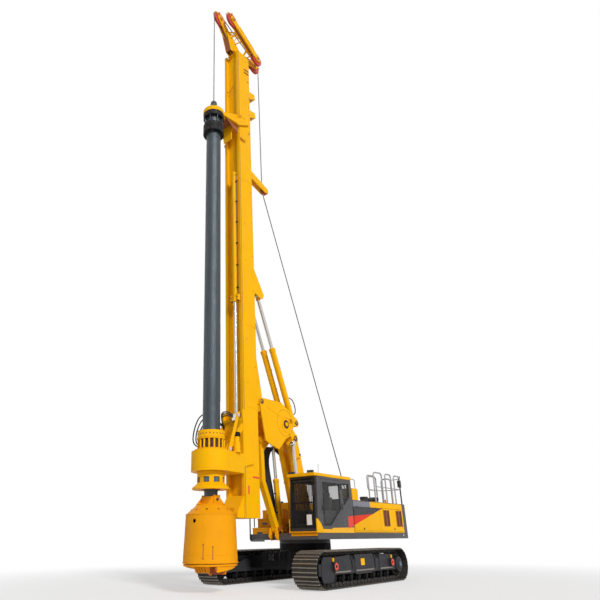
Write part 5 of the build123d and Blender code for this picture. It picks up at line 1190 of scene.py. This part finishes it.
def make_crowd_fittings(front):
    """Collars, clamps and pipes of the crowd cylinder, and the pipes down the mast's front."""
    lo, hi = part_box("crowd_cylinder_barrel")
    x, y = (lo.x + hi.x) / 2, lo.y + 0.08
    crowd = Piece("crowd_cylinder_fittings", "mast", bevel=0.003)
    crowd.ring((x, y, lo.z - 0.001), Z, 0.092, 0.079, 0.13, yellow, 28)
    for side in SIDES:
        near, far = x + side * 0.090, x + side * 0.165
        crowd.box((near, y - 0.06, lo.z + 0.05), (far, y + 0.07, lo.z + 0.26), yellow)
        crowd.box((near, y - 0.05, lo.z + 0.015), (far, y + 0.06, lo.z + 0.055), red_brown_and_shade)
        crowd.bolt((x + side * 0.128, y - 0.06, lo.z + 0.16), -Y, 0.018, red_brown_and_shade)
    crowd.ring((x, y, hi.z - 0.15), Z, 0.095, 0.079, 0.14, yellow, 28)
    pipe = ((0.07, lo.z + 0.10), (0.12, lo.z + 0.10), (0.12, hi.z - 0.10), (0.07, hi.z - 0.10))
    crowd.tube(rounded([(x + off, y, z) for off, z in pipe], 0.05), 0.014, steel)
    for z in (lo.z + 0.5 + i * 0.88 for i in range(6)):
        crowd.ring((x, y, z), Z, 0.085, 0.079, 0.045, yellow, 28)
        crowd.box((x + 0.06, y - 0.025, z), (x + 0.15, y + 0.025, z + 0.045), black)
    for k, x in enumerate((-0.06, -0.11, -0.16)):
        crowd.tube([(x, front + 0.115, 3.6), (x, front + 0.115, 14.3 - 0.6 * k)], 0.015, black if k else steel, 8)
    for z in (4.2 + i * 1.15 for i in range(9)):
        crowd.box((-0.19, front + 0.092, z), (-0.03, front + 0.131, z + 0.06), yellow)
    crowd.done(slot="yellow_paint")


def make_mast():
    """What is fixed to the mast's four sides."""
    make_mast_trims(*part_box("mast"), MAST_FRONT, MAST_REAR)
    make_mast_brackets(MAST_FRONT, MAST_REAR)
    make_crowd_fittings(MAST_FRONT)


# The head's wheels as (Y, Z), and the joint of its two main arms.
NECK = Vector((-2.99, 20.74))
MAIN_FRONT, MAIN_REAR = Vector((-3.984, 21.93)), Vector((-1.70, 21.08))
AUX_FRONT, AUX_REAR = Vector((-3.63, 21.89)), Vector((-2.00, 20.98))
MAIN_RADIUS, AUX_X = 0.31, 0.40
# Each wheel with its radius, its X and the degrees where bars keep the rope in its groove.
SHEAVES = ((MAIN_FRONT, MAIN_RADIUS, 0.0, (100, 150)), (MAIN_REAR, MAIN_RADIUS, 0.0, (20, 70)),
           (AUX_FRONT, 0.30, AUX_X, (100, 150)), (AUX_REAR, 0.28, AUX_X, ()))


def make_braces(head):
    """Cross tubes between the main arms and the second arm."""
    for end, share, aux_share, radius, sides in (
            (MAIN_FRONT, 0.62, 0.30, 0.030, 12), (MAIN_FRONT, 0.25, 0.50, 0.030, 12),
            (MAIN_FRONT, 0.62, 0.50, 0.020, 10), (MAIN_FRONT, 0.25, 0.30, 0.020, 10),
            (MAIN_REAR, 0.45, 0.86, 0.026, 12)):
        a, b = NECK.lerp(end, share), AUX_FRONT.lerp(AUX_REAR, aux_share)
        head.rod((0.09, *a), (0.345, *b), radius, yellow, sides)


def make_arm_strips(head):
    """Edge strips along the cheeks of each arm, and a red-brown plate under it as painted shade of the underside."""
    for start, end, x, spare in ((MAIN_FRONT, NECK, 0.0, 0.10), (NECK, MAIN_REAR, 0.0, 0.40),
                                 (AUX_FRONT, AUX_REAR, AUX_X, 0.40)):
        way = Vector((0, *(end - start))).normalized()
        under = Vector((0, way.z, -way.y))
        run = (way, 0.40, (end - start).length - spare)
        at = Vector((x, *start))
        for side in SIDES:
            for level in (-0.135, 0.135):
                head.block(at, (X, side * 0.095, side * 0.110), (under, level - 0.014, level + 0.014), run, yellow)
        # Painted shade: a red-brown plate along the arm's underside.
        head.block(at, (X, -0.05, 0.05), (under, 0.10, 0.125), run, red_brown_and_shade)


def make_arm_root(head, top):
    """The main arm's wide root and the gussets up to it from the mast's top."""
    def above(outline, x, half, material):
        head.web([(y, top + rise) for y, rise in outline], x, half, material)

    cheek = ((-3.42, 0.03), (-2.62, 0.03), (-2.78, 0.34), (-3.32, 0.86), (-3.62, 1.02), (-3.66, 0.82))
    for side in SIDES:
        above(cheek, side * 0.1325, 0.0075, yellow)
        head.rod((side * 0.10, -3.40, top + 0.70), (side * 0.14, -3.40, top + 0.70), 0.03, red_brown_and_shade, 12)
        above(((-3.30, 0.06), (-2.55, 0.06), (-2.62, 0.24), (-3.16, 0.30)), side * 0.17, 0.012, yellow)
        above(((-3.34, 0.062), (-3.18, 0.062), (-3.18, 0.36), (-3.26, 0.30)), side * 0.12, 0.010, red_brown_and_shade)
    # Painted shade: a red-brown strip across the root's downward-facing front between the cheeks.
    above(((-3.42, 0.04), (-3.40, 0.04), (-3.63, 0.82), (-3.65, 0.82)), 0, 0.13, red_brown_and_shade)


def make_wheel_fittings(head):
    """Pin ends with keepers, and the bars that keep the rope in its groove."""
    for (y, z), radius, x, guards in SHEAVES:
        hub = Vector((x, y, z))
        for side in SIDES:
            cap = [(0, 0.085), (0.014, 0.085), (0.020, 0.05)]
            head.lathe(hub + X * side * 0.094, X * side, cap, red_brown_and_shade, 24)
            head.box((x + side * 0.108, y - 0.10, z - 0.020), (x + side * 0.118, y - 0.02, z + 0.020), yellow)
        for turn in map(math.radians, guards):
            way = Y * math.cos(turn) + Z * math.sin(turn)
            at = hub + way * (radius + 0.055)
            head.rod(at - X * 0.075, at + X * 0.075, 0.014, yellow, 10)
            for lane in (X * 0.075, X * -0.075):
                head.rod(hub + way * 0.12 + lane, at + lane, 0.016, yellow, 8)


def make_head():
    """Bracing, plates and rope guards of the mast's head, and the rims of its wheels."""
    head = Piece("head_bracing", "mast", bevel=0.004)
    make_braces(head)
    make_arm_strips(head)
    make_arm_root(head, high("mast").z)
    make_wheel_fittings(head)
    head.done(slot="yellow_paint")
    rims = Piece("sheave_rims", "mast", bevel=0.002)
    for (y, z), radius, x, _ in SHEAVES:
        for side in SIDES:
            rims.ring((x + side * 0.026, y, z), X * side, radius + 0.030, radius - 0.012, 0.018, sheave_red, 44)
    rims.done(slot="sheave_red")


make_mast()
make_head()


# ---- drive, kelly and bucket ----------------------------------------------------------------
KELLY = Vector((0, pin_at("kelly_spin").y, 0))
DRIVE_BOTTOM, DRIVE_TOP = 3.12, 3.69
KELLY_RADIUS = 0.265
FLANGES = ((15.432, 15.836), (16.172, 16.374))  # the kelly bar's two head flanges, each from and to a height
GUIDE_LOW, GUIDE_TOP = 16.374, 16.520           # the guide's plate
BUCKET_LOW, BUCKET_TOP = 0.73, 1.96             # the bucket's wall
TEETH, TOOTH_PITCH = 5, 0.105                   # the teeth in each row
LIP_STEPS = 14


def axis_at(z):
    """The point of the kelly bar's axis at a height."""
    return KELLY + Z * z


def spokes(count, first=0.0, start=0.0):
    """Equal steps round the vertical: the way out and the direction square to it."""
    return [spoke(angle + start) for angle in turns(count, first)]


def make_drive_rings():
    """Rings and pillars on top of the rotary drive, with a dark sleeve behind the pillars as painted shade of the
    cage's inside.
    """
    parts = Piece("drive_pillars", "carriage", bevel=0.004)
    parts.ring(axis_at(DRIVE_TOP - 0.001), Z, 0.50, 0.364, 0.045, yellow, 48)
    parts.ring(axis_at(DRIVE_TOP + 0.345), Z, 0.425, 0.364, 0.040, yellow, 48)
    for way, _ in spokes(16, 0.5):
        foot = axis_at(DRIVE_TOP + 0.04) + way * 0.385
        parts.rod(foot, foot + Z * 0.31, 0.030, yellow, 12)
    parts.ring(axis_at(DRIVE_TOP + 0.376), Z, 0.428, 0.395, 0.018, orange, 48)
    # Painted shade: a dark sleeve behind the pillars for the shaded inside of the cage.
    parts.ring(axis_at(DRIVE_TOP + 0.04), Z, 0.372, 0.3645, 0.32, painted_opening_shade, 48)
    parts.done(slot="yellow_paint")


def make_drive_bolts():
    """Bolt circles on the drive's rings, plugs round the collar and bolts round the front of the housing."""
    holes = Piece("drive_bolts", "carriage", bevel=0)
    for count, reach, rise, radius in ((24, 0.455, 0.044, 0.014), (24, 0.392, 0.59, 0.013), (20, 0.412, 0.39, 0.010)):
        holes.bolts(axis_at(DRIVE_TOP + rise), Z, reach, count, radius, red_brown_and_shade)
    for way, _ in spokes(24, 0.5):
        plug = [(0, 0.022), (0.014, 0.022), (0.016, 0.014)]
        holes.lathe(axis_at(DRIVE_TOP + 0.49) + way * 0.400, way, plug, red_brown_and_shade, 10)
    for i in range(26):
        way, _ = spoke(-0.35 - (math.pi - 0.7) * i / 25)
        holes.bolt(axis_at(DRIVE_BOTTOM + 0.07) + way * 0.578, way, 0.008, yellow)
    holes.done(slot="yellow_paint")


def make_motors():
    """The drive's motors with their ports, its lock bars and the box behind it."""
    y = KELLY.y
    motors = Piece("drive_motors", "carriage", bevel=0.005)
    for x, back in ((-0.46, 0.62), (0.46, 0.62), (-0.50, 0.10)):
        at = Vector((x, y + back, DRIVE_TOP))
        case = [(0, 0.135), (0.05, 0.135), (0.06, 0.11), (0.30, 0.105), (0.31, 0.085), (0.46, 0.08), (0.48, 0.05)]
        motors.lathe(at, Z, case, yellow, 28)
        motors.box(at + Vector((-0.07, -0.09, 0.47)), at + Vector((0.07, 0.09, 0.60)), black)
        motors.bolts(at + Z * 0.05, Z, 0.118, 8, 0.010, steel)
        for off in (-0.03, 0.03):
            port = [(0, 0.022), (0.04, 0.022), (0.045, 0.015)]
            motors.lathe(at + Vector((off, -0.08, 0.535)), -Y, port, steel, 12)
    bar = [(y + 0.18, DRIVE_TOP + 0.02), (y + 0.30, DRIVE_TOP - 0.02), (-3.57, 4.93), (-3.70, 4.90)]
    for side in SIDES:
        motors.plate(bar, side * 0.487, side * 0.515, yellow)
        for pin_y, pin_z in ((y + 0.27, DRIVE_TOP + 0.06), (-3.66, 4.80)):
            pin = [(0, 0.055), (0.02, 0.055), (0.03, 0.03)]
            motors.lathe((side * 0.515, pin_y, pin_z), X * side, pin, chrome, 18)
    motors.box((-0.30, y + 0.42, DRIVE_TOP - 0.001), (0.30, y + 0.66, DRIVE_TOP + 0.13), yellow)
    motors.done(slot="yellow_paint")


def make_adapter():
    """Blue inspection windows, bolts and a band on the adapter under the drive."""
    lo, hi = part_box("drive_adapter")
    parts = Piece("adapter_details", "adapter", bevel=0.003)
    for way, side in spokes(8, 0.5):
        at = axis_at((lo.z + hi.z) / 2 + 0.02) + way * 0.365
        parts.block(at, (side, -0.075, 0.075), (Z, -0.065, 0.065), (way, -0.02, -0.01), blue_glass)
    for way, _ in spokes(12, 0.25):
        parts.bolt(axis_at(lo.z + 0.05) + way * 0.48, Z, 0.016, steel)
    parts.ring(axis_at(hi.z - 0.045), Z, 0.418, 0.36, 0.030, yellow, 48)
    parts.done(slot="yellow_paint")


def make_kelly():
    """Drive ribs, bands, webs and bolts of the kelly bar, and the swivel that the rope ends in."""
    ribs = Piece("kelly_ribs", "kelly", bevel=0.002)
    for way, side in spokes(3, 0, 0.9):
        foot = KELLY + way * (KELLY_RADIUS - 0.006)
        ribs.block(foot, (side, -0.03, 0.03), (way, 0, 0.012), (Z, 5.2, FLANGES[0][0] - 0.002), kelly_steel)
    for z in (6.2, 9.4, 12.6, 15.2):
        ribs.ring(axis_at(z), Z, KELLY_RADIUS + 0.004, KELLY_RADIUS - 0.002, 0.012, kelly_steel, 40)
    for z0, z1 in FLANGES:                                    # dark bands round them
        ribs.ring(axis_at(z0), Z, 0.391, 0.384, z1 - z0, black, 48)
        ribs.ring(axis_at(z0 - 0.001), Z, 0.386, 0.27, 0.004, black, 48)
    for way, side in spokes(8, 0.5):                          # webs between the two
        ribs.block(KELLY, (side, -0.012, 0.012), (way, 0.27, 0.37), (Z, 15.833, 16.175), kelly_steel)
    ribs.done(slot="kelly_steel")
    bolts = Piece("kelly_bolts", "kelly", bevel=0)
    for way, _ in spokes(16, 0.5):
        for z in (15.52, 15.75, 16.27):
            bolts.lathe(axis_at(z) + way * 0.388, way, [(0, 0.016), (0.008, 0.016)], steel, 10)
    bolts.bolts(axis_at(15.833), Z, 0.335, 16, 0.014, steel)
    bolts.done(slot="kelly_steel")
    swivel = Piece("kelly_swivel", "guide", bevel=0.003)
    base = 16.525
    tall = high("kelly_bar").z - base
    body = [(0, 0.19), (0.03, 0.19), (0.04, 0.165), (0.14, 0.150), (0.30, 0.128), (tall - 0.06, 0.122),
            (tall + 0.004, 0.075), (tall + 0.012, 0.034)]
    swivel.lathe(axis_at(base), Z, body, kelly_steel, 32)
    swivel.bolts(axis_at(base + 0.03), Z, 0.176, 10, 0.010, steel)
    swivel.done(slot="kelly_steel")


def make_guide():
    """The bearing ring, gussets, slide pads and bolts of the guide on the mast; the gussets and sheets under its arm
    are red-brown as painted shade.
    """
    lo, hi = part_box("kelly_guide")
    y = KELLY.y
    parts = Piece("guide_details", "guide", bevel=0.004)
    parts.ring(axis_at(GUIDE_TOP - 0.002), Z, 0.40, 0.20, 0.026, yellow, 40)
    parts.bolts(axis_at(GUIDE_TOP + 0.024), Z, 0.36, 14, 0.013, steel)
    under = [(y + 0.30, GUIDE_LOW + 0.002), (-3.30, GUIDE_LOW + 0.002), (-3.30, GUIDE_LOW - 0.34),
             (-3.50, GUIDE_LOW - 0.30)]
    above = [(y + 0.10, GUIDE_TOP - 0.002), (-3.22, GUIDE_TOP - 0.002), (-3.22, hi.z - 0.10)]
    for side in SIDES:
        # Red-brown gussets under the arm: painted shade of its underside.
        parts.web(under, side * 0.33, 0.016, red_brown_and_shade)
        parts.web(above, side * 0.28, 0.012, yellow)
        for z in (lo.z + 0.12, hi.z - 0.26):
            parts.box((side * 0.433, -3.20, z), (side * 0.443, -2.90, z + 0.14), yellow)
            for bolt_y in (-3.15, -2.96):
                parts.bolt((side * 0.443, bolt_y, z + 0.07), X * side, 0.012, steel)
    for x0, x1 in ((-0.30, -0.06), (-0.06, 0.30)):            # painted shade: dark red-brown sheets under the arm
        parts.box((x0, y + 0.42, GUIDE_LOW - 0.006), (x1, -3.50, GUIDE_LOW + 0.001), red_brown_and_shade)
    parts.done(slot="yellow_paint")


def bucket_skin(z):
    """The bucket wall's radius at a height."""
    return 0.75 - 0.05 * (z - BUCKET_LOW) / (BUCKET_TOP - BUCKET_LOW)


def make_bucket_wall():
    """Hoops, slots, lifting holes, gussets and the latch of the bucket."""
    y = KELLY.y
    shell = Piece("bucket_details", "kelly", bevel=0.003)
    for z, wide in ((BUCKET_TOP - 0.008, 0.010), (BUCKET_LOW + 0.20, 0.004), (BUCKET_LOW + 0.004, 0.014)):
        shell.ring(axis_at(z), Z, bucket_skin(z) + wide, bucket_skin(z) - 0.004, 0.020, orange, 64)
    for angle, z0, z1 in ((-62, 0.86, 1.20), (-42, 0.86, 1.14), (-128, 0.86, 1.22)):
        way, side = spoke(math.radians(angle))
        ends = [axis_at(z) + way * bucket_skin(z) for z in (z0, z1)]
        for end in ends:
            shell.lathe(end - way * 0.002, way, [(0, 0.022), (0.005, 0.022), (0.006, 0.010)], red_brown_and_shade, 12)
        strip = ((-0.010, -0.002), (0.010, -0.002), (0.010, 0.005), (-0.010, 0.005))
        shell.rings([[end + side * u + way * w for u, w in strip] for end in ends], red_brown_and_shade)
    for k in range(10):
        way, _ = spoke(math.radians(-160 + k * 34))
        slope = (way * 0.66 + Z * 0.75).normalized()
        hole = [(0, 0.026), (0.010, 0.026), (0.011, 0.012)]
        shell.lathe(axis_at(2.09) + way * 0.555 - slope * 0.004, slope, hole, red_brown_and_shade if k % 3 else black, 14)
    for side in SIDES:
        for out in SIDES:
            gusset = [(y + out * 0.13, 2.22), (y + out * 0.36, 2.24), (y + out * 0.13, 2.44)]
            shell.web(gusset, side * 0.20, 0.012, orange)
        shell.rod((side * 0.235, y, 2.36), (side * 0.275, y, 2.36), 0.035, kelly_steel, 16)
    shell.ring(axis_at(2.215), Z, 0.415, 0.36, 0.022, orange, 40)
    shell.web([(y + 0.60, 1.00), (y + 0.74, 1.00), (y + 0.735, 1.35), (y + 0.60, 1.35)], 0, 0.03, orange)
    shell.lathe(axis_at(0.95), Z, [(0, 0.55), (0.90, 0.52)], painted_opening_shade, 32)   # painted shade: a dark sleeve for the bucket's shaded inside, behind the vent hole
    shell.done(slot="orange_paint")


def make_bucket_teeth():
    """Two rows of teeth, the spiral lips beside the openings, the rim and the pilot point."""
    teeth = Piece("bucket_teeth", "gate", bevel=0.004)
    # Each level of a tooth: half width, front, back, share of the lean, height.
    levels = ((0.048, -0.06, 0.06, 0.0, 0.63), (0.044, -0.035, 0.035, 0.5, 0.54), (0.034, -0.010, 0.012, 1.0, 0.468))
    for side in SIDES:
        y, lean = KELLY.y - side * 0.075, -side * 0.075
        for x in (side * (0.16 + i * TOOTH_PITCH) for i in range(TEETH)):
            loops = [[(x + u, y + lean * share + v, z)
                      for u, v in ((-half, front), (half, front), (half, back), (-half, back))]
                     for half, front, back, share, z in levels]
            teeth.rings(loops, rust_red if side > 0 else orange)
    under = 0.67
    for start in (0.0, math.pi):
        loops = []
        for k in range(LIP_STEPS + 1):
            way, _ = spoke(math.radians(148 + k * 5.2) + start)
            drop = 0.145 * (1 - k / LIP_STEPS) ** 0.8 + 0.004
            lip = ((0.50, 0.0), (0.712, 0.0), (0.690, -drop), (0.53, -drop * 0.8))
            loops.append([axis_at(under + z) + way * r for r, z in lip])
        teeth.rings(loops, orange)
    teeth.ring(axis_at(under - 0.002), Z, 0.735, 0.66, 0.045, orange, 56)
    teeth.lathe(axis_at(0.62), -Z, [(0, 0.11), (0.10, 0.07), (0.185, 0.012)], rust_red, 12)
    teeth.done(slot="orange_paint")


make_drive_rings()
make_drive_bolts()
make_motors()
make_adapter()
make_kelly()
make_guide()
make_bucket_wall()
make_bucket_teeth()


# ---- ropes and hoses ------------------------------------------------------------------------
ROPE = 0.022                                    # radius of the rope
DRIVE_HOSE, BOOM_HOSE, CYLINDER_HOSE = 0.020, 0.024, 0.018             # radii of the hoses
STRANDS = 6
LAY = 0.30                                      # one turn of a strand round the rope
ARC_STEP = 0.12                                 # radians from point to point where the rope bends
ROLLER, ROLLER_RADIUS = (-1.23, 14.50), 0.16    # the roller on the mast's back, at the rope's middle
SWIVEL_TOP = 17.08
ROPE_MEETS = 18.1                               # the kelly rope's two lengths meet at this height


def tangent_run(wheels):
    """The (Y, Z) path of a rope over wheels: centres and radii, minus for a wheel on the path's other side."""
    path, last = [], None
    for ((ay, az), ar), ((by, bz), br) in zip(wheels, wheels[1:]):
        lean = math.asin((ar - br) / math.hypot(by - ay, bz - az))
        angle = math.atan2(bz - az, by - ay) + math.pi / 2 - lean      # square to the straight run
        if last is not None:
            turn = (angle - last + math.pi) % math.tau - math.pi
            count = max(2, int(abs(turn) / ARC_STEP))
            for at in (last + turn * i / count for i in range(1, count)):
                path.append((ay + ar * math.cos(at), az + ar * math.sin(at)))
        path.append((ay + ar * math.cos(angle), az + ar * math.sin(angle)))
        path.append((by + br * math.cos(angle), bz + br * math.sin(angle)))
        last = angle
    return path


def stranded(name, body, path):
    """A steel rope of twisted strands round a core, along a path of points."""
    points = [Vector(p) for p in path]
    fine = [points[0]]
    for a, b in zip(points, points[1:]):
        count = max(1, int((b - a).length / (LAY / 7)))
        fine.extend(a.lerp(b, (i + 1) / count) for i in range(count))
    piece = Piece(name, body, bevel=0)
    strand = ROPE * 0.36
    first, run = X, 0.0
    rails = [[] for _ in range(STRANDS)]
    for before, at, after in zip(fine[:1] + fine, fine, fine[1:] + fine[-1:]):
        way = (after - before).normalized()
        first = (first - way * first.dot(way)).normalized()
        run += (at - before).length
        spots = circle(at, first, way.cross(first), ROPE - strand, STRANDS, math.tau * run / LAY)
        for rail, spot in zip(rails, spots):
            out = (spot - at).normalized()
            rail.append(circle(spot, out, way.cross(out), strand, 5))
    for rail in rails:
        piece.rings(rail, rope_wire)
    piece.tube(fine, ROPE * 0.42, rope_wire, 6)
    return piece


def evaluated_mesh(obj):
    return bpy.data.meshes.new_from_object(obj.evaluated_get(bpy.context.evaluated_depsgraph_get()))


def hose(name, bodies, corners, radius):
    """A free hydraulic hose along a smooth line: on one body, or as a fixed mesh on no body when it runs between two
    bodies.
    """
    data = bpy.data.curves.new(name, "CURVE")
    data.dimensions = "3D"
    data.resolution_u = 8
    spline = data.splines.new("NURBS")
    spline.points.add(len(corners) - 1)
    for point, at in zip(spline.points, corners):
        point.co = (*at, 1.0)
    spline.order_u = 3
    spline.use_endpoint_u = True
    made = placed(name, data)
    line = evaluated_mesh(made)
    bpy.data.meshes.remove(line)
    data.bevel_depth = radius
    data.bevel_resolution = 2
    data.use_fill_caps = True
    data.materials.append(rubber)
    if len(bodies) == 1:
        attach(made, bodies[0])
        return
    bpy.context.view_layer.update()
    mesh = evaluated_mesh(made)
    bpy.data.objects.remove(made)
    mesh.shade_smooth()
    made = placed(name, mesh)
    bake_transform(made)


def blended_rope(name, path):
    """A length of rope along a path, as a fixed mesh on no body."""
    made = stranded(name, None, path).mesh()
    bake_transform(made)
    return made


def make_ropes():
    """The rope from the swivel over the head and down to the winch, as twisted wire."""
    top, meets = axis_at(MAIN_FRONT.y), axis_at(ROPE_MEETS)
    blended_rope("kelly_rope_upper", [top, meets])
    blended_rope("kelly_rope_lower",
                 [meets + Z * 0.002, axis_at(SWIVEL_TOP - 0.04)])
    winch = pin_at("rope_swing")
    wheels = [((KELLY.y, ROPE_MEETS), 0.0), (MAIN_FRONT, MAIN_RADIUS + ROPE), (MAIN_REAR, MAIN_RADIUS + ROPE),
              (ROLLER, -ROLLER_RADIUS), ((winch.y, winch.z), 0.0)]
    run = [Vector((0, y, z)) for y, z in tangent_run(wheels)[1:-1]]
    stranded("head_rope", "mast", run).done(slot="rope_wire")
    diagonal = blended_rope("hoist_rope",
                            [(0, winch.y, winch.z), run[-1]])
    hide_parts("hoist_rope_lower", "hoist_rope_upper")


def make_drive_hoses():
    """Loops beside the kelly bar back to the carriage, and arcs over the carriage behind it."""
    y = KELLY.y
    for i in range(4):
        far = -0.56 - 0.125 * i
        way, _ = spoke(math.radians(150 - 13 * i))
        port = axis_at(DRIVE_TOP) + way * 0.47
        hose("drive_hose_%d" % i, ["carriage"], [
            (-0.40 + 0.01 * i, -3.30, 4.70 - 0.06 * i), (far + 0.26, y + 0.86, 4.62 + 0.13 * i),
            (far, y + 0.50, 4.66 + 0.13 * i), (far - 0.02, y + 0.20, 4.36 + 0.04 * i),
            (far + 0.02, y + 0.14, 4.00 - 0.02 * i), port + Vector((-0.12, 0, 0.24 - 0.03 * i)), port], DRIVE_HOSE)
    for i in range(3):
        hose("motor_hose_%d" % i, ["carriage"], [
            (0.16 - 0.05 * i, -3.31, 4.72 - 0.06 * i), (0.14, -3.46, 4.84 + 0.05 * i),
            (-0.10, -3.60 - 0.03 * i, 4.90 + 0.06 * i), (-0.28, -3.60, 4.80 + 0.04 * i),
            (-0.36, -3.31, 4.56 - 0.05 * i)], DRIVE_HOSE)


def make_boom_hoses():
    """A sheaf of hoses from the deck to the boom's right leg."""
    foot, head = pin_at("boom_lift"), pin_at("carrier_level")
    way = (head - foot).normalized()
    deck = high("house_frame").z
    for i in range(6):
        y = -0.36 - 0.055 * i
        end = head - way * (0.30 + 0.06 * i) - X * 0.302
        hose("boom_hose_%d" % i, ["house", "boom"], [
            (-0.60, y, deck), (-0.60, y - 0.03, deck + 0.45), (-0.62, y - 0.12, deck + 1.10),
            (-0.65, y - 0.26, deck + 1.80), (-0.62, y - 0.42, deck + 2.40),
            (-0.46, y - 0.36, deck + 2.80 + 0.03 * i), end], BOOM_HOSE)


def make_cylinder_hose():
    """The hose from port to port on a mast cylinder."""
    foot, way = pin_at("mast_cylinder_swing"), stroke_of("mast_cylinder_stroke")
    base, back = Vector((MAST_CYLINDER_X, foot.y, foot.z)), way.cross(X)
    bend = ((0.30, 0.105), (0.24, 0.30), (0.50, 0.44), (0.86, 0.36), (0.92, 0.105))
    hose("mast_cylinder_hose", ["mast_barrels"], [base + way * along + back * off for along, off in bend],
         CYLINDER_HOSE)


make_ropes()
make_drive_hoses()
make_boom_hoses()
make_cylinder_hose()
